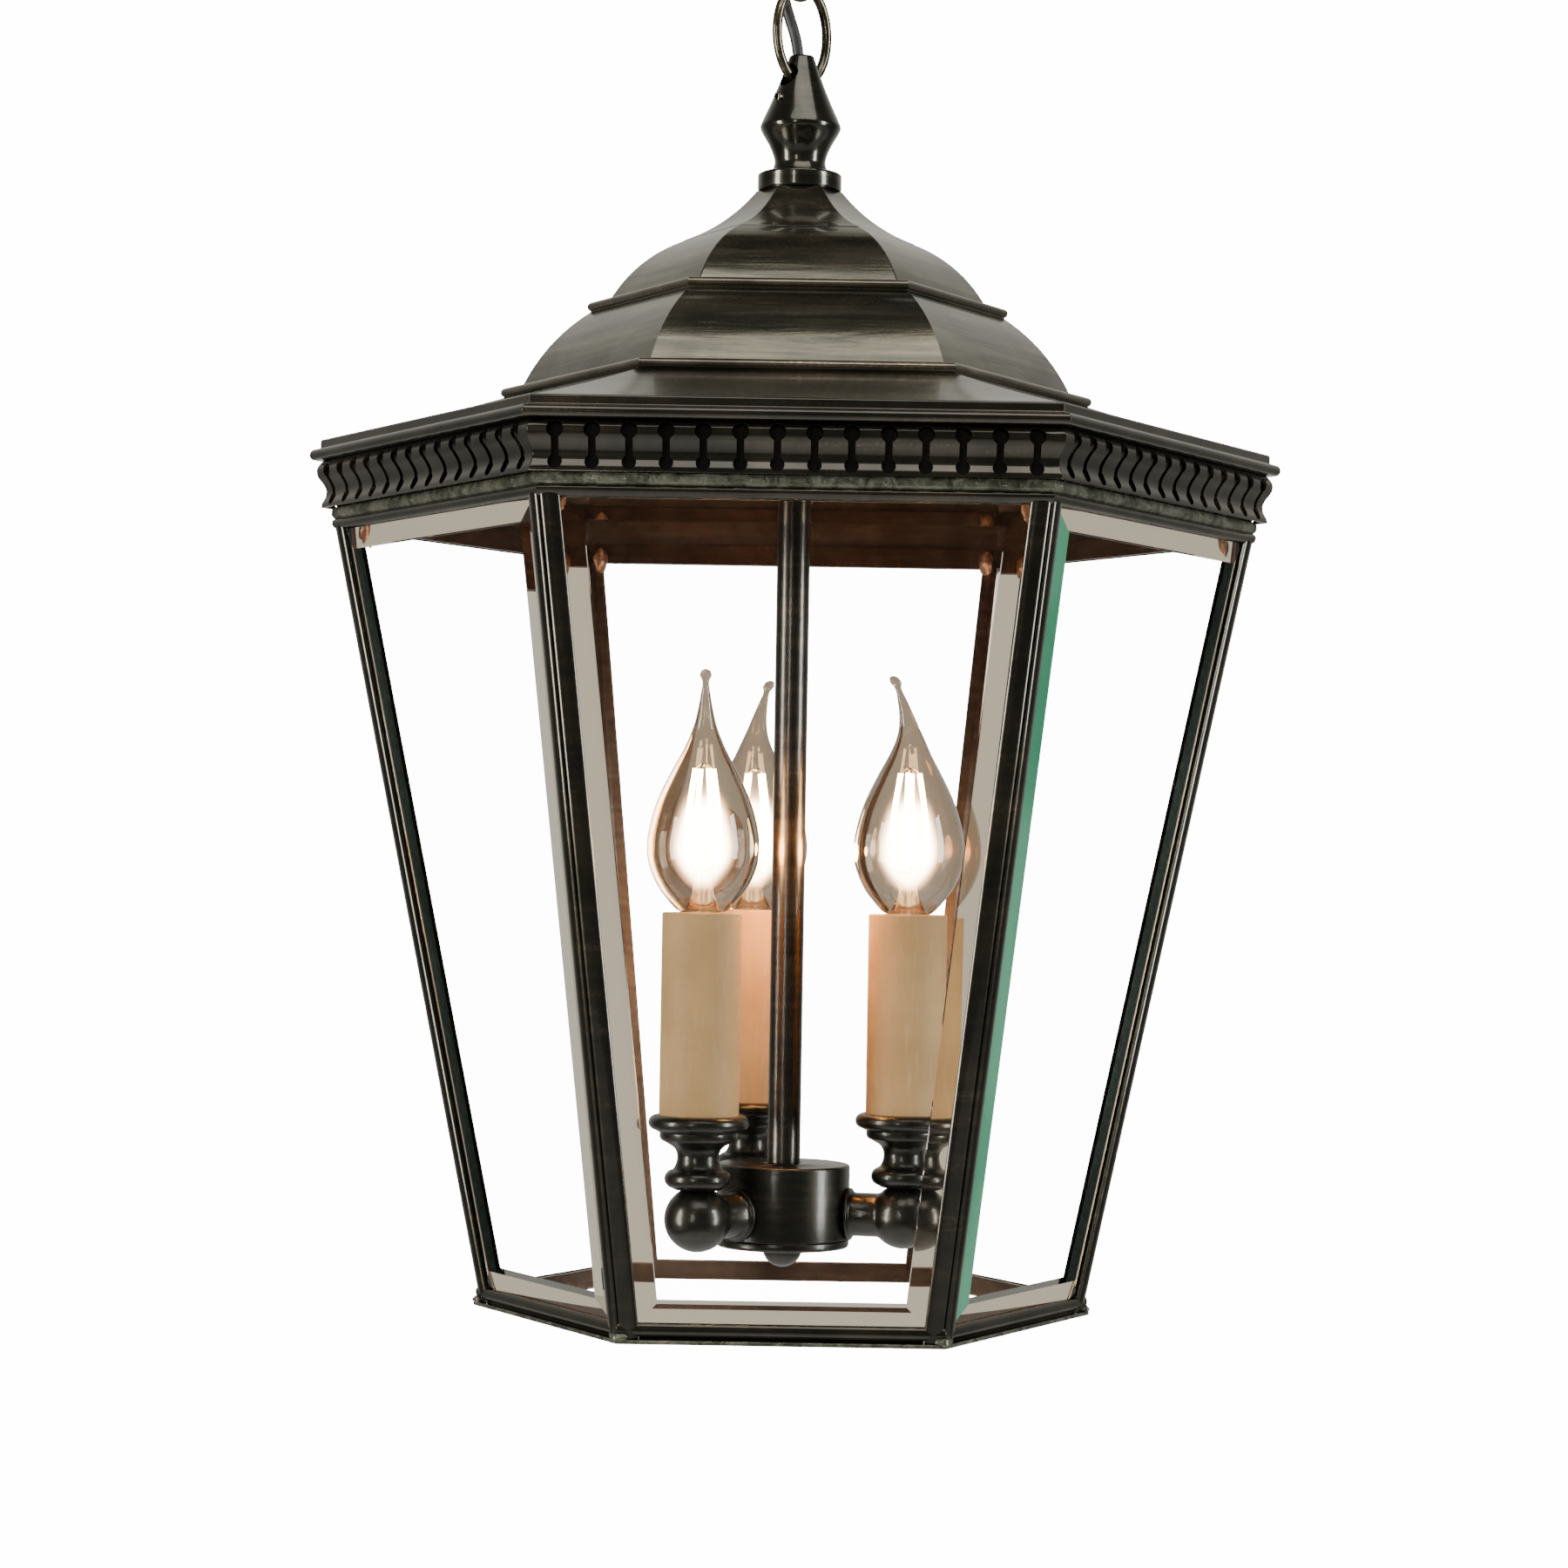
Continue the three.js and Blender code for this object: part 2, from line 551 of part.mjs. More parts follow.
function finial() {
  const at = (share) => FINIAL_BOTTOM + FINIAL_HEIGHT * share;
  const body = turned([
    [0, at(0)],
    [FINIAL_FLANGE_RADIUS, at(0)],
    [FINIAL_FLANGE_RADIUS, at(0.09)],
    [FINIAL_FLANGE_RADIUS - 1.5, at(0.125)],
    [FINIAL_NECK_RADIUS + 0.5, at(0.145)],
    [FINIAL_NECK_RADIUS, at(0.2)],
    [FINIAL_NECK_RADIUS + 1, at(0.29)],
    [FINIAL_WAIST_RADIUS - 1, at(0.4)],
    [FINIAL_WAIST_RADIUS, at(0.46)],
    [FINIAL_TOP_RADIUS + 0.3, at(0.985)],
    [FINIAL_TOP_RADIUS, at(1)],
    [0, at(1)],
  ], 20);
  const reach = FINIAL_FLANGE_RADIUS * 2;
  const crossBore = cylinder(LINK_WIRE_RADIUS + FINIAL_BORE_PLAY, -reach, reach, 12);
  crossBore.rotateY(Math.PI / 2).rotateZ(LINK_TURN).translate(0, 0, BORE_LEVEL);
  const socket = cylinder(FLEX_RADIUS + GAP, FINIAL_TOP - FLEX_SOCKET_DEPTH, FINIAL_TOP + 1, 16);
  socket.translate(flexEntry.x, flexEntry.y, 0);
  const rodSocket = cylinder(
    ROD_RADIUS + GAP,
    FINIAL_BOTTOM - 1,
    FINIAL_BOTTOM + ROD_SOCKET_DEPTH,
  );
  const screwHole = cylinder(GRUB_SCREW_RADIUS + GAP, grubScrewFoot - GAP, reach, 10);
  return cut(body, crossBore, socket, rodSocket, towardsGrubScrew(screwHole));
}

// The grub screw lies square to the axis, under the mouth of the cross bore.
const grubScrewSurface =
  FINIAL_TOP_RADIUS +
  ((FINIAL_WAIST_RADIUS - FINIAL_TOP_RADIUS) * GRUB_SCREW_DROP) / (FINIAL_HEIGHT * 0.54);
const grubScrewFoot = grubScrewSurface - GRUB_SCREW_SEAT;
const towardsGrubScrew = (geometry) =>
  geometry.rotateY(Math.PI / 2).rotateZ(LINK_TURN + Math.PI)
    .translate(0, 0, FINIAL_TOP - GRUB_SCREW_DROP);

add("finial", finial(), bronze);
add(
  "grub_screw",
  towardsGrubScrew(cylinder(GRUB_SCREW_RADIUS, grubScrewFoot, grubScrewSurface + 0.8, 10)),
  bronze,
);

// ---- chain and hook -----------------------------------------------------------------------
const link = () => ovalRing(LINK_HALF_WIDTH, LINK_HALF_HEIGHT, LINK_WIRE_RADIUS);
const lowerLink = add("link_lower", link(), bronze);
lowerLink.rotation.z = LINK_TURN;
lowerLink.position.z = LOWER_LINK_MIDDLE;
const upperLink = add("link_upper", link(), bronze);
upperLink.rotation.z = LINK_TURN + Math.PI / 2;
upperLink.position.z = UPPER_LINK_MIDDLE;

const stemBottom = HOOK_EYE_HALF_HEIGHT - 0.5;
const stemTop = stemBottom + HOOK_STEM_LENGTH;
const hook = add(
  "chain_hook",
  join(
    ovalRing(HOOK_EYE_HALF_WIDTH, HOOK_EYE_HALF_HEIGHT, HOOK_WIRE_RADIUS, 20),
    cylinder(HOOK_STEM_RADIUS, stemBottom, stemTop, 16),
  ),
  bronze,
);
hook.rotation.z = LINK_TURN;
hook.position.z = HOOK_MIDDLE;

// ---- ceiling rose -------------------------------------------------------------------------
const grommetPlace = [-13, 0];
const PLATE_BOTTOM = CEILING - PLATE_THICKNESS;
const ROSE_LIP_GAP = 0.1; // the rim stops just short of the ceiling

function ceilingPlate() {
  const disc = cylinder(PLATE_RADIUS, PLATE_BOTTOM, CEILING, 28);
  const boss = cylinder(PLATE_BOSS_RADIUS, PLATE_BOTTOM - PLATE_BOSS_HEIGHT, CEILING - 1, 20);
  const stemEnd = HOOK_MIDDLE + stemTop + GAP;
  const stemBore = cylinder(HOOK_STEM_RADIUS + GAP, 0, stemEnd, 16);
  const screwHoles = [-1, 1].map((side) =>
    cylinder(PLATE_SCREW_RADIUS, PLATE_BOTTOM - 1, CEILING + 1, 12)
      .translate((side * PLATE_SCREW_SPACING) / 2, 0, 0),
  );
  const supplyHole = cylinder(SUPPLY_HOLE_RADIUS, PLATE_BOTTOM - 1, CEILING + 1, 16);
  supplyHole.translate(0, PLATE_SCREW_SPACING / 2, 0);
  return cut(join(disc, boss), stemBore, ...screwHoles, supplyHole);
}

function ceilingRose() {
  const floor = ROSE_BOTTOM + ROSE_WALL;
  const rim = CEILING - ROSE_LIP_GAP;
  const low = [ROSE_FLAT_RADIUS, ROSE_BOTTOM];
  const high = [ROSE_RADIUS, CEILING - ROSE_RIM_HEIGHT];
  const lowInside = [ROSE_FLAT_RADIUS, floor];
  const highInside = [ROSE_RADIUS - ROSE_WALL, CEILING - ROSE_RIM_HEIGHT];
  const hole = HOOK_STEM_RADIUS + GAP;
  const shell = turned(
    closed([
      [hole, ROSE_BOTTOM],
      ...arc(low, high, ROSE_SAGITTA),
      [ROSE_RADIUS, rim],
      [ROSE_RADIUS - ROSE_WALL, rim],
      ...arc(lowInside, highInside, ROSE_SAGITTA).reverse(),
      [hole, floor],
    ]),
    28,
  );
  const grommetHole = cylinder(GROMMET_RADIUS + GAP, ROSE_BOTTOM - 1, floor + 1, 16);
  return cut(shell, grommetHole.translate(...grommetPlace, 0));
}

function cordGrommet() {
  const hole = FLEX_RADIUS + GAP;
  const ring = turned(
    closed([
      [hole, ROSE_BOTTOM - GROMMET_FLANGE],
      [GROMMET_RADIUS, ROSE_BOTTOM - GROMMET_FLANGE],
      [GROMMET_RADIUS, ROSE_BOTTOM + ROSE_WALL + GROMMET_TAIL],
      [hole, ROSE_BOTTOM + ROSE_WALL + GROMMET_TAIL],
    ]),
    16,
  );
  return ring.translate(...grommetPlace, 0);
}

const terminal = cut(
  new THREE.BoxGeometry(...TERMINAL_SIZE),
  ...[-1, 0, 1].map((place) =>
    cylinder(TERMINAL_SCREW_RADIUS, -TERMINAL_SIZE[2], 0, 8)
      .translate(0, place * TERMINAL_PITCH, 0),
  ),
);
terminal.translate(TERMINAL_REACH, 0, PLATE_BOTTOM - GAP - TERMINAL_SIZE[2] / 2);

add("ceiling_plate", ceilingPlate(), steel);
add("ceiling_rose", ceilingRose(), bronze);
add("cord_grommet", cordGrommet(), blackPlastic);
add("terminal_block", terminal, porcelain);
const nutHole = (HOOK_STEM_RADIUS + GAP) / APOTHEM;
add(
  "hook_nut",
  turned(
    closed([
      [nutHole, ROSE_BOTTOM - GAP - NUT_HEIGHT],
      [NUT_RADIUS, ROSE_BOTTOM - GAP - NUT_HEIGHT],
      [NUT_RADIUS, ROSE_BOTTOM - GAP],
      [nutHole, ROSE_BOTTOM - GAP],
    ]),
    SIDES,
  ),
  bronze,
);

// ---- flex ---------------------------------------------------------------------------------
// The flex leaves the finial, leans out past the links and goes up into the rose. The route is
// split beside the upper link, so that each half bends at one swing axis.
const flexLowerRoute = [
  [flexEntry.x, 0, FINIAL_TOP - 1.1],
  [flexEntry.x, 0, FINIAL_TOP + 1],
  [-2.2, 0, FINIAL_TOP + 6.3],
  [-4.1, 0, FINIAL_TOP + 12.3],
  [-6.0, 0, UPPER_LINK_BOTTOM + 0.2],
  [-7.6, 0, UPPER_LINK_BOTTOM + 6.7],
  [-8.7, 0, UPPER_LINK_MIDDLE - 3.5],
  [-9.2, 0, UPPER_LINK_MIDDLE - 0.2],
];
const flexUpperRoute = [
  [-9.7, 0, UPPER_LINK_MIDDLE + 2.8],
  [-10.6, 0, UPPER_LINK_MIDDLE + 8.5],
  [-11.6, 0, HOOK_MIDDLE - 5],
  [-12.4, 0, HOOK_MIDDLE + 3],
  [-12.9, 0, ROSE_BOTTOM - 7],
  [...grommetPlace, ROSE_BOTTOM - 1],
  [...grommetPlace, ROSE_BOTTOM + 5],
];
add("flex_lower", cord(flexLowerRoute, FLEX_RADIUS), blackPlastic);
add("flex_upper", cord(flexUpperRoute, FLEX_RADIUS), blackPlastic);

// ---- rod and hub --------------------------------------------------------------------------
const HUB_TOP = HUB_BOTTOM + HUB_HEIGHT;
const ROD_BOTTOM = HUB_TOP + GAP;
const ROD_TOP = FINIAL_BOTTOM + ROD_SOCKET_DEPTH - GAP;
const STUD_TOP = ROD_BOTTOM + STUD_REACH;
const STUD_BOTTOM = HUB_BOTTOM - STUD_DROP;
const WASHER_THICKNESS = 1.5;
const WASHER_TOP = APEX_LEVEL - ROOF_SHEET - GAP;
const LOCKNUT_TOP = WASHER_TOP - WASHER_THICKNESS - GAP;
const LOCKNUT_HEIGHT = 5;

const ring = (inner, outer, bottom, top, segments) =>
  turned(closed([[inner, bottom], [outer, bottom], [outer, top], [inner, top]]), segments);

add("rod", ring(ROD_BORE_RADIUS, ROD_RADIUS, ROD_BOTTOM, ROD_TOP, 20), bronze);
add(
  "roof_washer",
  ring(ROD_RADIUS + GAP, APEX_RADIUS * 0.72, WASHER_TOP - WASHER_THICKNESS, WASHER_TOP, 20),
  steel,
);
add(
  "roof_locknut",
  ring(rodHole, rodHole + 3.2, LOCKNUT_TOP - LOCKNUT_HEIGHT, LOCKNUT_TOP, SIDES),
  steel,
);
add("tie_stud", cylinder(STUD_RADIUS, STUD_BOTTOM, STUD_TOP, 12), steel);
add("inner_flex", cylinder(FLEX_RADIUS, STUD_TOP + WIRE_SPACE, ROD_TOP - WIRE_SPACE / 2, 8), blackPlastic);

const COVER_TOP = HUB_BOTTOM + HUB_COVER_THICKNESS;
const hubHole = STUD_RADIUS + GAP;
add(
  "hub_body",
  turned(
    closed([
      [HUB_RADIUS, COVER_TOP + GAP],
      [HUB_RADIUS, HUB_TOP - 0.6],
      [HUB_RADIUS - 0.6, HUB_TOP],
      [hubHole, HUB_TOP],
      [hubHole, HUB_TOP - HUB_WALL],
      [HUB_RADIUS - HUB_WALL, HUB_TOP - HUB_WALL],
      [HUB_RADIUS - HUB_WALL, COVER_TOP + GAP],
    ]),
    28,
  ),
  bronze,
);
add("hub_cover", ring(hubHole, HUB_RADIUS, HUB_BOTTOM, COVER_TOP, 28), bronze);

function ballNut() {
  const middle = HUB_BOTTOM - GAP;
  const ball = new THREE.SphereGeometry(BALL_NUT_RADIUS, 14, 8).rotateX(Math.PI / 2);
  const seat = cylinder(BALL_NUT_RADIUS * 2, HUB_BOTTOM - GAP, HUB_BOTTOM + 20);
  const bore = cylinder(hubHole, STUD_BOTTOM - GAP, HUB_BOTTOM + 1, 12);
  return cut(ball.translate(0, 0, middle), seat, bore);
}
add("ball_nut", ballNut(), bronze);

// ---- candles ------------------------------------------------------------------------------
function arm() {
  const start = HUB_RADIUS + GAP;
  const ball = [];
  const stub = Math.sqrt(ELBOW_RADIUS ** 2 - ARM_RADIUS ** 2);
  const firstTurn = Math.atan2(ARM_RADIUS, -stub);
  const ballSteps = 6;
  for (let i = 0; i < ballSteps; i++) {
    const turn = firstTurn * (1 - i / ballSteps);
    ball.push([ELBOW_RADIUS * Math.sin(turn), ARM_REACH + ELBOW_RADIUS * Math.cos(turn)]);
  }
  ball.push([0, ARM_REACH + ELBOW_RADIUS]);
  const shape = turned(
    [
      [0, start],
      [ARM_FLANGE_RADIUS, start],
      [ARM_FLANGE_RADIUS, start + ARM_FLANGE_THICKNESS],
      [ARM_RADIUS, start + ARM_FLANGE_THICKNESS],
      ...ball,
    ],
    16,
  );
  return shape.rotateY(Math.PI / 2).translate(0, 0, ELBOW_HEIGHT);
}

// The foot is hollowed over the elbow's crown; the mouth is bored for the candle tube.
function cup() {
  const up = (share) => CUP_BOTTOM + CUP_HEIGHT * share;
  const seat = TUBE_RADIUS + GAP;
  const foot = Math.sqrt(ELBOW_RADIUS ** 2 - (CUP_BOTTOM - GAP - ELBOW_HEIGHT) ** 2) + GAP;
  return turned([
    [0, ELBOW_TOP + GAP],
    [foot, ELBOW_TOP + GAP],
    [foot, up(0)],
    [CUP_COLLAR_RADIUS - 1.5, up(0)],
    [CUP_COLLAR_RADIUS, up(0.14)],
    [CUP_COLLAR_RADIUS - 1.5, up(0.28)],
    [CUP_NECK_RADIUS + 0.4, up(0.37)],
    [CUP_NECK_RADIUS, up(0.47)],
    [CUP_NECK_RADIUS + 2, up(0.62)],
    [CUP_RIM_RADIUS - 3.6, up(0.7)],
    [CUP_RIM_RADIUS - 1, up(0.78)],
    [CUP_RIM_RADIUS, up(0.88)],
    [CUP_RIM_RADIUS - 1, up(0.98)],
    [seat, up(1)],
    [seat, CUP_BOTTOM + CUP_FLOOR],
    [0, CUP_BOTTOM + CUP_FLOOR],
  ], 16);
}

function holder() {
  const bottom = TUBE_BOTTOM;
  const top = bottom + HOLDER_LENGTH;
  const bore = CAP_RADIUS + GAP;
  const floor = TUBE_TOP - GAP - CAP_HEIGHT - GAP;
  return turned([
    [0, bottom],
    [HOLDER_RADIUS, bottom],
    [HOLDER_RADIUS, top],
    [bore, top],
    [bore, floor],
    [0, floor],
  ], 16);
}

// Flame-shaped bulb whose drawn-out tip leans over to +X.
function bulb() {
  const bottom = TUBE_TOP;
  const outline = [
    [BULB_NECK_RADIUS, 0],
    [BULB_RADIUS * 0.8, 0.1],
    [BULB_RADIUS, 0.26],
    [BULB_RADIUS * 0.95, 0.37],
    [BULB_RADIUS * 0.68, 0.56],
    [BULB_RADIUS * 0.35, 0.72],
    [BULB_RADIUS * 0.18, 0.84],
    [BULB_RADIUS * 0.1, 0.96],
  ].map(([radius, share]) => [radius, bottom + BULB_HEIGHT * share]);
  const top = bottom + BULB_HEIGHT;
  const glass = turned([[0, bottom], ...outline, [0, top]], 16);
  const at = glass.attributes.position;
  const bendStart = bottom + BULB_HEIGHT * 0.72;
  for (let i = 0; i < at.count; i++) {
    const share = Math.max(at.getZ(i) - bendStart, 0) / (top - bendStart);
    at.setX(i, at.getX(i) + BULB_TIP_BEND * share * share);
  }
  return glass;
}

// The first candle's tip leans in to the rod, the second's to the side, the third's outward.
const tipTurns = [180, -67, 43].map(THREE.MathUtils.degToRad);

for (let i = 0; i < CANDLE_COUNT; i++) {
  const turn = CANDLE_FIRST_ANGLE + (i * 2 * Math.PI) / CANDLE_COUNT;
  const candle = new THREE.Group();
  candle.rotation.z = turn;
  pieces.add(candle);
  const stand = new THREE.Group();
  stand.position.x = ARM_REACH;
  candle.add(stand);
  const capTop = TUBE_TOP - GAP;
  const tubeBore = TUBE_RADIUS - TUBE_WALL;
  add(`arm_${i + 1}`, arm(), bronze, candle);
  add(`cup_${i + 1}`, cup(), bronze, stand);
  add(`lampholder_${i + 1}`, holder(), porcelain, stand);
  add(
    `candle_tube_${i + 1}`,
    ring(tubeBore, TUBE_RADIUS, TUBE_BOTTOM, TUBE_TOP, 16),
    candleCard,
    stand,
  );
  add(`bulb_cap_${i + 1}`, cylinder(CAP_RADIUS, capTop - CAP_HEIGHT, capTop, 16), steel, stand);
  add(`bulb_${i + 1}`, bulb(), clearGlass, stand).rotation.z = tipTurns[i];
}

// ---- the whole lantern, hung from the ceiling ---------------------------------------------
pieces.position.z = -CEILING;
const lantern = new THREE.Group();
lantern.add(pieces);

export default lantern;
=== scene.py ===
# %% [markdown]
# # A six-sided hanging lantern in dark bronze
# The lantern is a tapering glazed cage under a tiered roof. Three candle lamps stand on a hub at
# the foot of a central rod, and the whole thing hangs on a short chain from a ceiling rose.
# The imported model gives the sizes, the joints and the plain solids. This script gives the looks:
# it models each visible piece more finely, in the same place, and gives every piece a finish.

import math
import random

import bpy
from mathutils import Matrix, Vector


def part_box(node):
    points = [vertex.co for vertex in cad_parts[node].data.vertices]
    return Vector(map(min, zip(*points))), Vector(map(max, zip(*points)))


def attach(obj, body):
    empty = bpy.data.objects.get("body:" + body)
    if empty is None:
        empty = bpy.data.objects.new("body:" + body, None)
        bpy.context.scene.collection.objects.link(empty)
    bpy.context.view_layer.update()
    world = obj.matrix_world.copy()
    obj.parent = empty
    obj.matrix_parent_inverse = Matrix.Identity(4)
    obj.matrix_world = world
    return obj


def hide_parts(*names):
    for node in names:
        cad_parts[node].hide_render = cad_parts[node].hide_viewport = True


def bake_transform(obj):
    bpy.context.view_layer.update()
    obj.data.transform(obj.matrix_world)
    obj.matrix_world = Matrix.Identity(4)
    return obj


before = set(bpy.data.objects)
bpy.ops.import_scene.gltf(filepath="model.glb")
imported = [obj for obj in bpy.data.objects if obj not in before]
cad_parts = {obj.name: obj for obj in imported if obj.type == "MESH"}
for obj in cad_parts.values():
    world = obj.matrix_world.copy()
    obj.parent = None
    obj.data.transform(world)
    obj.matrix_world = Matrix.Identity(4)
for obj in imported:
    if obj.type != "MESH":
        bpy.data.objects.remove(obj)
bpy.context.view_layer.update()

# %% [markdown]
# The scene is in metres, and a lantern is easier to think of in millimetres above the cage's
# lower edge. So a few small helpers turn such sizes into metres in the lantern's own frame, whose
# origin is up at the ceiling, and read the plain model's levels and widths.

# %% Units and levels
MM = 0.001
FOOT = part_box("bottom_rail")[0].z


def up(height):
    """The z, in metres, of a height in millimetres above the cage's lower edge."""
    return FOOT + height * MM


def level(node, end):
    """A node's lowest (end 0) or highest (end 1) level, in millimetres above the same edge."""
    return (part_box(node)[end].z - FOOT) / MM


def span(node):
    """A node's lowest and highest levels."""
    return level(node, 0), level(node, 1)


def half_width(node):
    """How far a node reaches from the lantern's axis, in millimetres."""
    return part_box(node)[1].x / MM


EAVE_RADIUS = half_width("eave_cornice")
CAGE_TOP, RAIL_TOP = span("top_rail")
APEX = level("roof_crown", 1)
FINIAL_TOP = level("finial", 1)
print("cage", round(CAGE_TOP, 1), "apex", round(APEX, 1), "eave radius", round(EAVE_RADIUS, 1))

# %% [markdown]
# The camera stands level with the middle of the cage, a bit over a metre in front of it, and
# looks up by less than a degree. A long lens keeps the six sides nearly parallel. The small roll
# is the lantern's own lean on its chain, seen from the camera's side.

# %% Camera
LENS, SENSOR = 83.7, 36  # millimetres
STAND = (-1.8, -1131.6, 144.9)  # right, back and height, in millimetres
LOOK_UP, ROLL = 0.016, 0.0165  # radians
camera_data = bpy.data.cameras.new("camera")
camera_data.lens = LENS
camera_data.sensor_width = SENSOR
camera = bpy.data.objects.new("camera", camera_data)
bpy.context.scene.collection.objects.link(camera)
camera.location = (STAND[0] * MM, STAND[1] * MM, up(STAND[2]))
pitch = Matrix.Rotation(math.radians(90) + LOOK_UP, 4, "X")
camera.rotation_euler = (pitch @ Matrix.Rotation(ROLL, 4, "Z")).to_euler()
bpy.context.scene.camera = camera
print("camera", round(-STAND[1]), "mm in front of the axis")

# %% [markdown]
# The flex is one thin cable. It leaves the finial's top beside the lower link, leans out past
# both links and goes up into a grommet in the rose. It crosses both swinging joints, and a piece
# can bend over only one, so it is made as two lengths that meet beside the upper link. Each is a
# tube swept along a smooth line through listed points.

# %% Flex
FLEX_RADIUS = 1.8
FLEX_STEPS = 6  # steps between two points of the route
SOCKET_X = -1.2  # where the flex enters the finial, to the left of the axis
GROMMET_X = -13.0  # where it enters the rose
ROSE_FLOOR, ROSE_TOP = span("ceiling_rose")
LINK_FOOT, LINK_HEAD = span("link_upper")
LINK_MIDDLE = (LINK_FOOT + LINK_HEAD) / 2
JOIN = (-9.45, 0, LINK_MIDDLE + 1.3)

flex_low = [
    (SOCKET_X, 0, FINIAL_TOP - 1.1), (SOCKET_X, 0, FINIAL_TOP + 1.0), (-2.2, 0, FINIAL_TOP + 6.3),
    (-4.1, 0, FINIAL_TOP + 12.3), (-6.0, 0, LINK_FOOT + 1.8), (-7.6, 0, LINK_FOOT + 8.3),
    (-8.7, 0, LINK_MIDDLE - 3.5), JOIN,
]
flex_high = [
    JOIN, (-10.6, 0, LINK_MIDDLE + 8.5), (-11.6, 0, LINK_MIDDLE + 15.5),
    (-12.4, 0, LINK_MIDDLE + 23.5), (-12.9, 0, ROSE_FLOOR - 7), (GROMMET_X, 0, ROSE_FLOOR - 1),
    (GROMMET_X, 0, ROSE_FLOOR + 5),
]


def select_only(*pieces):
    """Selects these pieces and nothing else; the first becomes the active one."""
    bpy.ops.object.select_all(action="DESELECT")
    for piece in pieces:
        piece.select_set(True)
    if pieces:
        bpy.context.view_layer.objects.active = pieces[0]


def add_object(name, data):
    """Puts new data into the scene as an object."""
    made = bpy.data.objects.new(name, data)
    bpy.context.scene.collection.objects.link(made)
    return made


def smooth_line(points, steps=FLEX_STEPS):
    """Points in metres on a smooth line through the given ones, in millimetres."""
    places = [Vector((x * MM, y * MM, up(z))) for x, y, z in points]
    padded = [2 * places[0] - places[1], *places, 2 * places[-1] - places[-2]]
    line = []
    for a, b, c, d in zip(padded, padded[1:], padded[2:], padded[3:]):
        for i in range(steps):
            t = i / steps
            line.append(
                0.5 * (2 * b + (c - a) * t + (2 * a - 5 * b + 4 * c - d) * t**2)
                + 0.5 * (3 * b - a - 3 * c + d) * t**3
            )
    return [*line, places[-1]]


def tube(name, line, radius, sides=16):
    """A round tube of a radius in millimetres along a line in metres."""
    curve = bpy.data.curves.new(name, "CURVE")
    curve.dimensions = "3D"
    spline = curve.splines.new("POLY")
    spline.points.add(len(line) - 1)
    for point, place in zip(spline.points, line):
        point.co = (*place, 1)
    curve.bevel_depth = radius * MM
    curve.bevel_resolution = sides // 4 - 1
    curve.use_fill_caps = True
    piece = add_object(name, curve)
    select_only(piece)
    bpy.ops.object.convert(target="MESH")
    bpy.ops.object.shade_smooth_by_angle(angle=math.radians(50))
    return piece


def line_length(line):
    """The length of a line in metres."""
    return sum((b - a).length for a, b in zip(line, line[1:]))


low_line = smooth_line(flex_low)
high_line = smooth_line(flex_high)[::-1]
flex_lower = tube("flex_low", low_line, FLEX_RADIUS)
flex_upper = tube("flex_high", high_line, FLEX_RADIUS)
for piece, node, line, body in (
    (flex_lower, "flex_lower", low_line, "lantern"),
    (flex_upper, "flex_upper", high_line, "ceiling_fitting"),
):
    line_length(line)
    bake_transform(piece)
    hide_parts(node)
    print(piece.name, round(line_length(line) / MM, 1), "mm")

# %% [markdown]
# The studio is plain. Straight behind the lantern all is white. What the metal mirrors and what
# the bevels bend into view is the rest of the room, a warm grey that is palest behind the lantern
# and darkens round to its front and below. Light Path tells the two apart by whether a ray has met
# anything yet. Tall soft lights stand left and right, a broad one hangs over the front, and a
# narrow one draws a thin highlight down the round pieces. Three tiny warm lights between the
# lamps stand in for the light that the filaments throw on the rod and the sleeves.

# %% Light and floor
world = bpy.data.worlds.new("studio")
bpy.context.scene.world = world
world.use_nodes = True
sky = world.node_tree
background = sky.nodes["Background"]
white = sky.nodes.new("ShaderNodeBackground")
white.inputs["Strength"].default_value = 15.0
white.inputs["Color"].default_value = (1, 1, 1, 1)
background.inputs["Color"].default_value = (0.97, 0.95, 0.84, 1)
mix = sky.nodes.new("ShaderNodeMixShader")
path = sky.nodes.new("ShaderNodeLightPath")
direction = sky.nodes.new("ShaderNodeTexCoord")
to_back = sky.nodes.new("ShaderNodeVectorMath")
to_back.operation = "DOT_PRODUCT"
to_back.inputs[1].default_value = (0.0, 0.96, 0.28)  # backwards and a little up
brightness = sky.nodes.new("ShaderNodeMapRange")
brightness.interpolation_type = "SMOOTHSTEP"
for socket, value in (("From Min", 0.32), ("From Max", 1.0), ("To Min", 0.13), ("To Max", 0.68)):
    brightness.inputs[socket].default_value = value
for output, entry in (
    (direction.outputs["Generated"], to_back.inputs[0]),
    (to_back.outputs["Value"], brightness.inputs["Value"]),
    (brightness.outputs["Result"], background.inputs["Strength"]),
    (path.outputs["Is Camera Ray"], mix.inputs[0]), (background.outputs[0], mix.inputs[1]),
    (white.outputs[0], mix.inputs[2]),
    (mix.outputs[0], sky.nodes["World Output"].inputs["Surface"]),
):
    sky.links.new(output, entry)


def soft_light(name, place, size, power, colour):
    """A rectangular light of a width and height in metres, turned to the lantern's middle."""
    data = bpy.data.lights.new(name, "AREA")
    data.shape = "RECTANGLE"
    data.size, data.size_y = size
    data.energy = power
    data.color = colour
    light = add_object(name, data)
    light.location = place
    aim = Vector((0, 0, up(200))) - Vector(place)
    light.rotation_euler = aim.to_track_quat("-Z", "Y").to_euler()


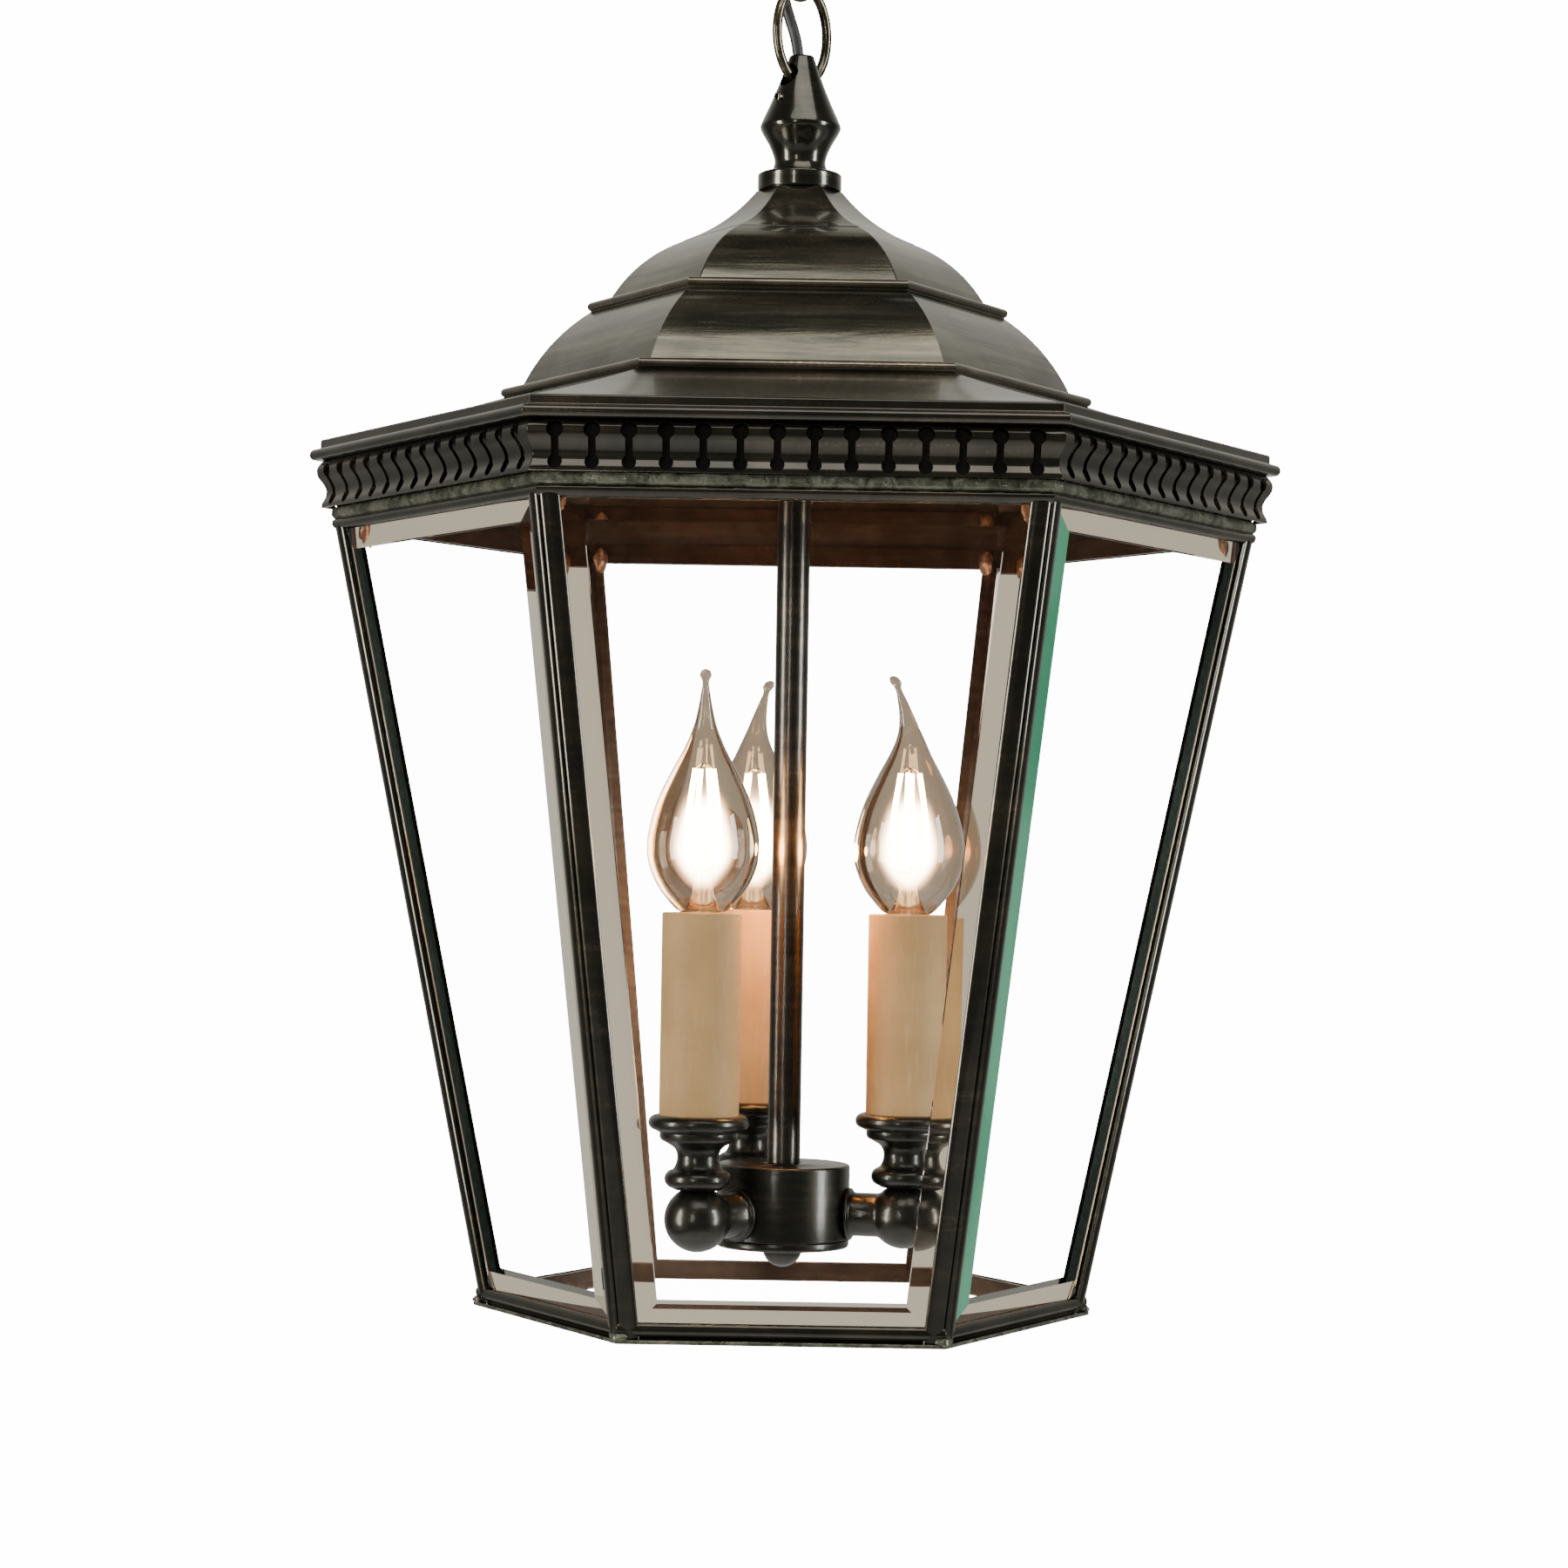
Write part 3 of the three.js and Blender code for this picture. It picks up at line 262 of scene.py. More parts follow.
WARM, COOL = (1.0, 0.97, 0.92), (0.95, 0.98, 1.0)
soft_light("left_light", (-1.5, -0.75, up(260)), (0.35, 1.3), 34, WARM)
soft_light("right_light", (1.6, -0.6, up(330)), (0.35, 1.3), 34, COOL)
soft_light("top_light", (0.2, -0.9, up(1500)), (1.6, 0.8), 13, WARM)
soft_light("front_light", (-0.55, -1.9, up(420)), (0.12, 1.0), 6, WARM)

FIRST_CANDLE = -13  # the plan angle of the first candle, in degrees
LAMP_LIGHT_REACH = 0.0155  # metres from the axis
LAMP_LIGHT_HEIGHT = 142
for number in range(3):
    glow = bpy.data.lights.new("lamp_light", "POINT")
    glow.energy = 0.13
    glow.color = (1.0, 0.38, 0.09)
    glow.shadow_soft_size = 0.004
    angle = math.radians(FIRST_CANDLE + 120 * number)
    across, back = LAMP_LIGHT_REACH * math.cos(angle), LAMP_LIGHT_REACH * math.sin(angle)
    add_object("lamp_light", glow).location = (across, back, up(LAMP_LIGHT_HEIGHT))

FLOOR_RADIUS = 3.2
FLOOR_LEVEL = FOOT - 1.25  # metres, well below the cage
select_only()
bpy.ops.mesh.primitive_circle_add(
    vertices=96, radius=FLOOR_RADIUS, fill_type="NGON", location=(0, 0, FLOOR_LEVEL)
)
floor = bpy.context.object
floor.name = "floor"
print(len(bpy.data.lights), "lights")

# %% [markdown]
# Finishes come first, because each piece asks for one as it is made. A finish is a tree of nodes,
# and its arithmetic reads best as plain expressions. `Value` wraps one socket, so that
# `1 - mask * 0.5` adds the two Math nodes by itself. `Finish` holds one material's tree, with one
# method that makes any other node.

# %% Shader helpers


class Value:
    """A number that varies over a surface: one output socket, with arithmetic."""

    def __init__(self, finish, socket):
        self.finish = finish
        self.socket = socket

    def _math(self, operation, first, second):
        return self.finish.node("ShaderNodeMath", {"operation": operation}, {0: first, 1: second})

    def __add__(self, other):
        return self._math("ADD", self, other)

    def __radd__(self, other):
        return self._math("ADD", other, self)

    def __sub__(self, other):
        return self._math("SUBTRACT", self, other)

    def __rsub__(self, other):
        return self._math("SUBTRACT", other, self)

    def __mul__(self, other):
        return self._math("MULTIPLY", self, other)

    def __rmul__(self, other):
        return self._math("MULTIPLY", other, self)

    def __pow__(self, other):
        return self._math("POWER", self, other)

    def between(self, low, high):
        """0 below low, 1 above high, and a soft step between."""
        return self.finish.node(
            "ShaderNodeMapRange", {"interpolation_type": "SMOOTHSTEP"},
            {"Value": self, "From Min": low, "From Max": high},
        )


class Finish:
    """One procedural material. Its shader's constant values are given as keywords."""

    def __init__(self, name, **constants):
        self.material = bpy.data.materials.new(name)
        self.material.use_nodes = True
        self.tree = self.material.node_tree
        self.shader = self.tree.nodes["Principled BSDF"]
        for key, value in constants.items():
            self.shader.inputs[key.replace("_", " ")].default_value = value

    def node(self, kind, settings, sockets, output=0):
        """A node of one kind, with its settings made first and then its sockets filled."""
        made = self.tree.nodes.new(kind)
        for key, value in settings.items():
            if key == "stops":
                while len(made.color_ramp.elements) < len(value):
                    made.color_ramp.elements.new(0.5)
                for element, (place, colour) in zip(made.color_ramp.elements, value):
                    element.position = place
                    element.color = (*colour, 1)
            else:
                setattr(made, key, value)
        for key, value in sockets.items():
            if isinstance(value, Value):
                self.tree.links.new(value.socket, made.inputs[key])
            else:
                made.inputs[key].default_value = value
        return Value(self, made.outputs[output])

    def place(self, stretch=(1, 1, 1)):
        """The place on the object in metres, with each axis stretched."""
        coordinates = self.node("ShaderNodeTexCoord", {}, {}, "Object")
        return self.node("ShaderNodeMapping", {}, {"Vector": coordinates, "Scale": stretch})

    def noise(self, scale, detail, rough, stretch=(1, 1, 1), distort=0.0):
        """Cloudy noise, in cycles per metre."""
        return self.node(
            "ShaderNodeTexNoise", {},
            {
                "Vector": self.place(stretch), "Scale": scale, "Detail": detail,
                "Roughness": rough, "Distortion": distort,
            },
        )

    def ramp(self, value, stops):
        """A colour read off a row of stops, each (place, colour)."""
        return self.node("ShaderNodeValToRGB", {"stops": stops}, {0: value})

    def blend(self, amount, first, second):
        """A colour that runs from first to second as amount runs from 0 to 1."""
        sockets = {0: amount}
        for key, colour in ((6, first), (7, second)):
            sockets[key] = colour if isinstance(colour, Value) else (*colour, 1)
        return self.node("ShaderNodeMix", {"data_type": "RGBA"}, sockets, 2)

    def bump(self, height, distance):
        """Sends a height, in units of distance in metres, to the shader's normal."""
        self.feed(Normal=self.node("ShaderNodeBump", {}, {"Height": height, "Distance": distance}))

    def feed(self, **sockets):
        """Links varying values to the shader's own sockets."""
        for key, value in sockets.items():
            self.tree.links.new(value.socket, self.shader.inputs[key.replace("_", " ")])

# %% [markdown]
# The metal is brass with a dark chemical patina, waxed and handled. Up close it is not one colour:
# cloudy patches run from olive black to brown, thin streaks follow the way the sheet was rubbed,
# and the sheet itself is never quite flat, which wobbles its reflections. On the roof, level
# streaks
# make most of the colour: partly streaky patina, partly painted reflections of streaky light. One
# function makes every bronze from its own two or three colours, its gloss and the size of its
# marks.

# %% Bronze finishes


def bronze(
    name, dark, brown, rubbed, rough, marks=1.0, waves=0.00005, rub=0.35, streak=0.12,
    bands=0.4, wax=0.06,
):
    """Patinated brass. Marks scales the pattern, waves is the height of the sheet's ripples and
    streak that of the rubbed streaks on them. Rub is how bright the worn places get, bands is the
    share of level streaks in the colour, and wax is the roughness of the waxed skin."""
    finish = Finish(name, Coat_Roughness=wax, Coat_IOR=1.5, Metallic=0.92)
    clouds = finish.noise(38 * marks, 4, 0.6, distort=0.6)
    streaks = finish.noise(60 * marks, 4, 0.6, stretch=(0.28, 0.28, 4.5), distort=0.4)
    grain = finish.noise(900 * marks, 2, 0.5)
    # Bands is the share of level streaks in the colour; on the roof they are partly painted
    # reflections.
    patches = (clouds * (1 - bands) + streaks * bands).between(0.38, 0.66)
    worn = (streaks * 0.6 + grain * 0.4).between(0.56, 0.74) * rub
    colour = finish.blend(patches, dark, brown)
    colour = finish.blend(worn, colour, rubbed)
    ripples = finish.noise(24 * marks, 2, 0.4, stretch=(1, 1, 2.2))
    finish.feed(
        Base_Color=colour, Roughness=rough + clouds * 0.08 + grain * 0.05 - worn * 0.05,
        Coat_Weight=0.35 + clouds * 0.5,
    )
    finish.bump(ripples + streaks * streak + grain * 0.02, waves)
    return finish.material


dark_bronze = bronze(
    "dark_bronze", (0.026, 0.025, 0.019), (0.052, 0.044, 0.030), (0.20, 0.17, 0.11), rough=0.16
)
# The roof's colour is mostly level streaks: partly patina, partly painted reflections of streaky
# light.
roof_bronze = bronze(
    "roof_bronze", (0.050, 0.050, 0.036), (0.155, 0.138, 0.098), (0.26, 0.24, 0.17), rough=0.17,
    marks=0.8, waves=0.0011, streak=0.22, bands=0.7, wax=0.09,
)
bead_bronze = bronze(
    "bead_bronze", (0.075, 0.066, 0.048), (0.17, 0.14, 0.10), (0.42, 0.35, 0.25), rough=0.18,
    rub=0.6,
)
brown_bronze = bronze(
    "brown_bronze", (0.016, 0.016, 0.012), (0.030, 0.026, 0.018), (0.16, 0.11, 0.07), rough=0.3,
    marks=1.6, waves=0.00002, rub=0.18, wax=0.2,
)
rod_bronze = bronze(
    "rod_bronze", (0.038, 0.034, 0.029), (0.075, 0.058, 0.042), (0.16, 0.12, 0.08), rough=0.24,
    marks=1.2, waves=0.00002, rub=0.15, streak=0.03, wax=0.22,
)
chain_bronze = bronze(
    "chain_bronze", (0.040, 0.038, 0.022), (0.11, 0.092, 0.052), (0.50, 0.40, 0.24), rough=0.16,
    marks=2.2, waves=0.00003, rub=0.5,
)
finial_bronze = bronze(
    "finial_bronze", (0.024, 0.026, 0.020), (0.052, 0.048, 0.034), (0.26, 0.22, 0.15), rough=0.14,
    marks=1.4, waves=0.00003,
)
# Near-black painted shade for the outer face of the gallery lining, seen through the keyholes.
painted_shade_black = bronze("painted_shade_black", (0.006, 0.0055, 0.005), (0.012, 0.010, 0.008), (0.03, 0.025, 0.02), rough=0.6)
inner_copper = bronze(
    "inner_copper", (0.130, 0.084, 0.056), (0.180, 0.116, 0.076), (0.40, 0.22, 0.13), rough=0.26,
    marks=1.3, waves=0.00006, rub=0.2,
)

# %% [markdown]
# Solder is softer and duller than bronze. Where it was run along a seam it stays lumpy, and it
# goes grey green with age. The copper-coloured solder inside the cage is the same stuff before
# it has been coloured, so it is brighter.

# %% Solder finishes


def solder_finish(name, deep, pale, bright, rough):
    """Solder in three tones, lumpy and partly run."""
    finish = Finish(name)
    lumps = finish.noise(160, 4, 0.6, distort=0.8)
    flow = finish.noise(420, 3, 0.6, stretch=(0.5, 0.5, 1.6))
    colour = finish.blend(lumps.between(0.36, 0.62), deep, pale)
    colour = finish.blend(flow.between(0.60, 0.74) * 0.6, colour, bright)
    finish.feed(Base_Color=colour, Metallic=0.85 - lumps * 0.3, Roughness=rough + lumps * 0.2)
    finish.bump(lumps + flow * 0.3, 0.0006)
    return finish.material


grey_solder = solder_finish(
    "grey_solder", (0.050, 0.053, 0.037), (0.13, 0.135, 0.10), (0.34, 0.34, 0.27), 0.26
)
copper_solder = solder_finish(
    "copper_solder", (0.18, 0.085, 0.045), (0.38, 0.20, 0.11), (0.75, 0.45, 0.27), 0.28
)

# %% [markdown]
# The panes are thick clear glass with a polished bevel all round. The flats are see-through with a
# faint shine. The bevels bend what is behind them, which is what shows them: seen from outside they
# take the grey of the room, and seen from inside, against the light, they vanish. The lamp bulbs
# are blown so thin that they hardly bend light, and they glow round their filaments.

# %% Glass finishes


def bevelled_glass(name, outer):
    """One side of a bevel. It bends light that comes from outside the cage, and no other."""
    finish = Finish(
        name, Base_Color=(0.93, 0.82, 0.68, 1), Roughness=0.0, IOR=1.25, Transmission_Weight=1.0,
    )
    behind = finish.node("ShaderNodeNewGeometry", {}, {}, "Backfacing")
    finish.feed(Alpha=1 - behind * 0.99 if outer else behind * 0.99 + 0.01)
    return finish.material


def clear_pane():
    """The flat of a pane: nothing but a faint shine that grows at a slant."""
    finish = Finish("pane_glass", Base_Color=(0.03, 0.035, 0.03, 1), Roughness=0.0, IOR=1.5)
    slant = finish.node("ShaderNodeLayerWeight", {}, {"Blend": 0.5}, "Facing")
    finish.feed(Alpha=0.012 + (slant**5) * 0.25)
    return finish.material


def tinted_glass(name, deep, pale):
    """Glass seen along its length, where it is green and lets nothing through; on a bevel it is a
    painted refraction.
    """
    finish = Finish(name, IOR=1.5)
    drift = finish.noise(30, 3, 0.5, stretch=(1, 1, 0.3))
    finish.feed(
        Base_Color=finish.blend(drift.between(0.3, 0.7), deep, pale), Roughness=0.05 + drift * 0.1
    )
    return finish.material


bevel_glass = bevelled_glass("bevel_glass", True)
bevel_back = bevelled_glass("bevel_back", False)
pane_glass = clear_pane()
glass_edge = tinted_glass("glass_edge", (0.020, 0.035, 0.030), (0.06, 0.09, 0.075))
# An opaque green for one pane's left bevel: a painted refraction, the green the glass shows along
# its length at that slant.
painted_refraction_green = tinted_glass("painted_refraction_green", (0.034, 0.175, 0.095), (0.105, 0.30, 0.185))


def lit_bulb():
    """Blown glass, warm and brightest where the eye looks straight into the lamp."""
    finish = Finish(
        "bulb_glass", Roughness=0.0, IOR=1.12, Transmission_Weight=1.0, Coat_Weight=1.0,
        Coat_Roughness=0.0, Emission_Strength=1.0,
    )
    slant = finish.node("ShaderNodeLayerWeight", {}, {"Blend": 0.5}, "Facing")
    height = finish.node("ShaderNodeSeparateXYZ", {}, {0: finish.place()}, 2)
    middle = up(140)
    low = (height - middle).between(-0.024, -0.010)
    high = 1 - (height - middle).between(0.012, 0.026)
    core = (1 - slant).between(0.80, 0.96) * low * high
    rim = slant**2.2
    glow = [
        (0.0, (0.030, 0.013, 0.006)), (0.15, (0.22, 0.095, 0.04)), (0.45, (2.0, 1.2, 0.6)),
        (1.0, (14.0, 11.0, 8.0)),
    ]
    finish.feed(
        Base_Color=finish.blend(rim, (0.55, 0.46, 0.36), (0.14, 0.09, 0.055)),
        Emission_Color=finish.ramp(core, glow),
    )
    return finish.material


bulb_glass = lit_bulb()
stem_glass = Finish(
    "stem_glass", Base_Color=(0.92, 0.84, 0.74, 1), Roughness=0.0, IOR=1.35, Transmission_Weight=1.0
).material

# %% [markdown]
# The remaining finishes are plain materials with their own small marks: a card candle sleeve with
# faint fibres and a little warmth showing through, glazed ceramic, zinc-plated steel, brass, the
# rubbery skin of the flex, and the lamps' glowing filaments.

# %% Other finishes


def card_sleeve():
    """Cream card with upright fibres and a few darker clouds."""
    finish = Finish(
        "candle_card", Subsurface_Weight=0.15, Subsurface_Radius=(0.004, 0.002, 0.001),
        Subsurface_Scale=0.6,
    )
    fibres = finish.noise(700, 4, 0.6, stretch=(1, 1, 0.12))
    clouds = finish.noise(45, 3, 0.5)
    colour = finish.blend(clouds.between(0.35, 0.7), (0.38, 0.225, 0.085), (0.45, 0.275, 0.108))
    colour = finish.blend(fibres.between(0.5, 0.8) * 0.35, colour, (0.56, 0.40, 0.21))
    finish.feed(Base_Color=colour, Roughness=0.6 + fibres * 0.2)
    finish.bump(fibres, 0.00008)
    return finish.material


def ceramic():
    """White glaze that is a little uneven."""
    finish = Finish("white_ceramic", Coat_Weight=0.6, Coat_Roughness=0.08)
    crawl = finish.noise(120, 3, 0.5)
    finish.feed(
        Base_Color=finish.blend(crawl, (0.74, 0.71, 0.64), (0.82, 0.80, 0.74)),
        Roughness=0.2 + crawl * 0.15,
    )
    finish.bump(crawl, 0.0001)
    return finish.material


def plain_metal(name, dull, bright, rough):
    """Bare metal with a faint spangle and brush marks."""
    finish = Finish(name, Metallic=1.0)
    spangle = finish.noise(260, 4, 0.6)
    brushed = finish.noise(520, 3, 0.6, stretch=(1, 1, 0.15))
    finish.feed(
        Base_Color=finish.blend(spangle.between(0.35, 0.65), dull, bright),
        Roughness=rough + brushed * 0.18,
    )
    finish.bump(brushed, 0.00004)
    return finish.material


def rubber(name, black, grey):
    """Dull rubber with pores and a film of dust."""
    finish = Finish(name, Sheen_Weight=0.25, Sheen_Roughness=0.4)
    pores = finish.noise(1800, 2, 0.5)
    dust = finish.noise(140, 4, 0.6)
    finish.feed(
        Base_Color=finish.blend(dust.between(0.4, 0.75) * 0.7, black, grey),
        Roughness=0.32 + dust * 0.2 + pores * 0.08,
    )
    finish.bump(pores, 0.00004)
    return finish.material


def glowing():
    """A row of tiny glowing beads, seen as one bright strand."""
    finish = Finish("filament", Base_Color=(1.0, 0.8, 0.5, 1), Emission_Strength=70)
    beads = finish.noise(1500, 1, 0.5)
    finish.feed(Emission_Color=finish.blend(beads, (1.0, 0.58, 0.24), (1.0, 0.70, 0.38)))
    return finish.material


candle_card = card_sleeve()
white_ceramic = ceramic()
zinc = plain_metal("steel_fittings", (0.42, 0.41, 0.39), (0.58, 0.57, 0.54), 0.24)
cap_brass = plain_metal("bulb_cap_brass", (0.50, 0.38, 0.17), (0.70, 0.55, 0.28), 0.22)
flex_skin = rubber("flex_sheath", (0.012, 0.013, 0.012), (0.045, 0.050, 0.044))
black_rubber = rubber("black_rubber", (0.012, 0.012, 0.012), (0.05, 0.05, 0.048))
filament_glow = glowing()


def floor_finish():
    """Pale paint, lit a little from within so that it stays near the white behind it."""
    finish = Finish(
        "pale_floor", Roughness=0.7, Emission_Color=(1, 1, 1, 1), Emission_Strength=0.2
    )
    cloud = finish.noise(1.5, 3, 0.5)
    finish.feed(Base_Color=finish.blend(cloud, (0.88, 0.88, 0.87), (0.91, 0.91, 0.90)))
    return finish.material


floor.data.materials.append(floor_finish())
print(len(bpy.data.materials), "finishes")

# %% [markdown]
# Nearly every part of a lantern is a ring of some kind: round where it was turned on a lathe, and
# six-sided where it was folded from sheet. Both are made in the same way, as by hand: a circle of
# points is added, then extruded and resized step by step along an outline. Few points give flat
# sides with sharp hips, and many give a round.

# %% Making rings


def above(foot, *points):
    """Points of an outline whose heights are counted from a foot."""
    return [(radius, foot + height) for radius, height in points]


def bow(start, end, sagitta, steps):
    """Points from start to end along a shallow bow; the sagitta is its height to the right."""
    (r1, z1), (r2, z2) = start, end
    chord = math.hypot(r2 - r1, z2 - z1)
    across = (-(z2 - z1) / chord, (r2 - r1) / chord)
    line = []
    for i in range(steps + 1):
        t = i / steps
        lift = sagitta * 4 * t * (1 - t)
        line.append((r1 + (r2 - r1) * t + across[0] * lift, z1 + (z2 - z1) * t + across[1] * lift))
    return line


def bead(centre, radius, first, last, steps):
    """Points on an arc, from one angle to another in degrees; 0 points outwards and 90 up."""
    line = []
    for i in range(steps + 1):
        turn = math.radians(first + (last - first) * i / steps)
        line.append((centre[0] + radius * math.cos(turn), centre[1] + radius * math.sin(turn)))
    return line


def flowing(points, steps):
    """A smooth outline through a few points."""
    padded = [points[0], *points, points[-1]]
    line = []
    for a, b, c, d in zip(padded, padded[1:], padded[2:], padded[3:]):
        for i in range(steps):
            t = i / steps
            line.append(
                tuple(
                    0.5 * (2 * q + (s - p) * t + (2 * p - 5 * q + 4 * s - u) * t**2)
                    + 0.5 * (3 * q - p - 3 * s + u) * t**3
                    for p, q, s, u in zip(a, b, c, d)
                )
            )
    return [*line, points[-1]]


def extrude(x, y, z):
    """In edit mode, extrudes what is selected by a step in metres."""
    bpy.ops.mesh.extrude_region_move(TRANSFORM_OT_translate={"value": (x, y, z)})


def turn_outwards():
    """In edit mode, turns every face outwards, and goes back to object mode."""
    bpy.ops.mesh.select_all(action="SELECT")
    bpy.ops.mesh.normals_make_consistent(inside=False)
    bpy.ops.object.mode_set(mode="OBJECT")


def turned(name, outline, sides, closed=False, foot=FOOT):
    """A piece turned about the lantern's axis from an outline of (radius, height) points."""
    rows = list(outline)
    starts_on_axis = rows[0][0] == 0
    if starts_on_axis:
        tip = rows.pop(0)[1]
    if closed:
        rows.append(rows[0])
    radius, height = rows[0]
    select_only()
    bpy.ops.mesh.primitive_circle_add(
        vertices=sides, radius=radius * MM, fill_type="TRIFAN" if starts_on_axis else "NOTHING",
        location=(0, 0, foot + height * MM), rotation=(0, 0, math.radians(30)),
    )
    piece = bpy.context.object
    piece.name = name
    bpy.ops.object.transform_apply(location=True, rotation=True, scale=True)
    if starts_on_axis:
        middle = min(piece.data.vertices, key=lambda v: v.co.xy.length)
        middle.co.z = foot + tip * MM
        middle_index = middle.index
    bpy.ops.object.mode_set(mode="EDIT")
    bpy.ops.mesh.select_mode(type="VERT")
    bpy.ops.mesh.select_all(action="SELECT")
    if starts_on_axis:
        bpy.ops.object.mode_set(mode="OBJECT")
        piece.data.vertices[middle_index].select = False
        for face in piece.data.polygons:
            face.select = False
        for edge in piece.data.edges:
            edge.select = middle_index not in edge.vertices
        bpy.ops.object.mode_set(mode="EDIT")
    for (r1, z1), (r2, z2) in zip(rows, rows[1:]):
        extrude(0, 0, (z2 - z1) * MM)
        if r2 == 0:
            bpy.ops.mesh.merge(type="CENTER")
        elif r2 != r1:
            size = r2 / r1
            bpy.ops.transform.resize(value=(size, size, 1), center_override=(0, 0, foot + z2 * MM))
    bpy.ops.mesh.select_all(action="SELECT")
    bpy.ops.mesh.remove_doubles(threshold=0.000001)
    turn_outwards()
    return piece


def apply(piece, kind, **settings):
    """Adds one modifier, sets it and applies it."""
    select_only(piece)
    modifier = piece.modifiers.new("shape", kind)
    for key, value in settings.items():
        setattr(modifier, key, value)
    bpy.ops.object.modifier_apply(modifier=modifier.name)


def soften(piece, width=0.35, angle=12):
    """Rounds every hip and arris by a width in millimetres, and keeps the flats flat."""
    select_only(piece)
    bpy.ops.object.shade_smooth()
    apply(
        piece, "BEVEL", width=width * MM, segments=2, limit_method="ANGLE",
        angle_limit=math.radians(angle), harden_normals=True,
    )


def settle(piece, body, nodes, slot, *materials, smooth=None):
    """Gives a finished piece its shading, materials, body and the nodes it stands for. Its slot is
    not used.
    """
    if smooth is not None:
        select_only(piece)
        bpy.ops.object.shade_smooth_by_angle(angle=math.radians(smooth))
    piece.data.materials.clear()
    for material in materials:
        piece.data.materials.append(material)
    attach(piece, body)
    if nodes:
        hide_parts(*nodes)
    print(piece.name, "on", body, "with", len(piece.data.polygons), "faces")


def paint(piece, number, test):
    """Gives the piece's material of a number to each face that passes a test."""
    for face in piece.data.polygons:
        if test(face.center, face.normal):
            face.material_index = number


def own_copy(piece, name, placing):
    """A copy of a piece with a mesh of its own, put in its place by a matrix."""
    copy = piece.copy()
    copy.data = piece.data.copy()
    copy.name = name
    copy.data.transform(placing)
    bpy.context.scene.collection.objects.link(copy)
    return copy


def plan_turn(degrees, axis="Z"):
    """A turn about an axis, which is upright unless another is named."""
    return Matrix.Rotation(math.radians(degrees), 4, axis)


def prism(places, step):
    """A flat outline of points in metres, extruded by one step into a closed piece."""
    select_only()
    bpy.ops.mesh.primitive_circle_add(vertices=len(places), radius=MM, fill_type="NGON")
    piece = bpy.context.object
    for vertex, spot in zip(piece.data.vertices, places):
        vertex.co = spot
    bpy.ops.object.mode_set(mode="EDIT")
    bpy.ops.mesh.select_all(action="SELECT")
    extrude(*step)
    turn_outwards()
    return piece


def faces_in(centre, normal):
    """True for a face that looks towards the lantern's axis."""
    out = Vector((centre.x, centre.y, 0)).normalized()
    return normal.dot(out) < -0.2


# %% [markdown]
# The roof is three tiers of thin sheet, one standing on the next. Each tier ends at the top in a
# flat ledge with a rolled bead, on which the tier above sits. The crown rises in a hollow curve
# like a tent and has a crease halfway. The outer surface of each tier is made first, and then
# given the sheet's thickness inwards.

# %% Roof tiers
SHEET = 1.2
JOINT = 0.3  # the plain model's gap, which solder or paint fills here
CROWN_FOOT = level("roof_crown", 0) - JOINT
SHOULDER_TOP = level("roof_shoulder", 1)
SHOULDER_FOOT = level("roof_shoulder", 0) - JOINT
SKIRT_TOP = level("roof_skirt", 1)
SKIRT_FOOT = level("roof_skirt", 0) - JOINT
CROWN_RADIUS = half_width("roof_crown")
SHOULDER_RADIUS = half_width("roof_shoulder")
SKIRT_RADIUS = half_width("roof_skirt")
LEDGE = 6.4  # how far a ledge stands out beyond the tier on it
BEAD = 1.4


def rolled_ledge(radius, top):
    """A tier's flat ledge and the half-round bead at its outer edge."""
    centre = (radius + LEDGE - BEAD, top - BEAD)
    return [
        (radius - 6, top - 0.2), (radius + LEDGE - BEAD - 2.2, top - 0.2),
        (radius + LEDGE - BEAD - 1.2, top - 0.1), *bead(centre, BEAD, 100, -75, 10),
    ]


def roof_tier(name, outline):
    """One tier: its outer surface, turned so that it faces up, and then its thickness inwards."""
    tier = turned(name, outline, 6)
    select_only(tier)
    if sum(f.normal.z * f.area for f in tier.data.polygons) < 0:
        bpy.ops.object.mode_set(mode="EDIT")
        bpy.ops.mesh.select_all(action="SELECT")
        bpy.ops.mesh.flip_normals()
        bpy.ops.object.mode_set(mode="OBJECT")
    apply(tier, "SOLIDIFY", thickness=SHEET * MM, offset=-1, use_even_offset=True)
    soften(tier)
    node, finishes = name.replace("tier_", "roof_"), (roof_bronze, inner_copper, bead_bronze)
    settle(tier, "lantern", [node], "roof_bronze", *finishes)
    paint(tier, 1, lambda c, n: n.z < -0.1 and faces_in(c, n))
    return tier


CREASE_RADIUS = 36
crease = CROWN_FOOT + 19.7
tent_top = (13.4, APEX)
roof_tier(
    "tier_crown",
    [
        (5.6, APEX), *bow(tent_top, (CREASE_RADIUS - 0.3, crease + 0.25), -1.9, 12),
        *bow((CREASE_RADIUS + 0.3, crease - 0.15), (CROWN_RADIUS, CROWN_FOOT), 2.75, 12),
    ],
)
lobe_start = (CROWN_RADIUS + LEDGE - 1.0, SHOULDER_TOP - 2 * BEAD - 0.2)
shoulder = roof_tier(
    "tier_shoulder",
    [
        *rolled_ledge(CROWN_RADIUS, SHOULDER_TOP),
        *bow(lobe_start, (SHOULDER_RADIUS, SHOULDER_FOOT), 2.3, 12),
    ],
)
skirt_start = (SHOULDER_RADIUS + LEDGE - 0.8, SKIRT_TOP - 2 * BEAD - 0.2)
skirt = roof_tier(
    "tier_skirt",
    [
        *rolled_ledge(SHOULDER_RADIUS, SKIRT_TOP),
        *bow(skirt_start, (SKIRT_RADIUS, SKIRT_FOOT), -0.5, 8),
    ],
)
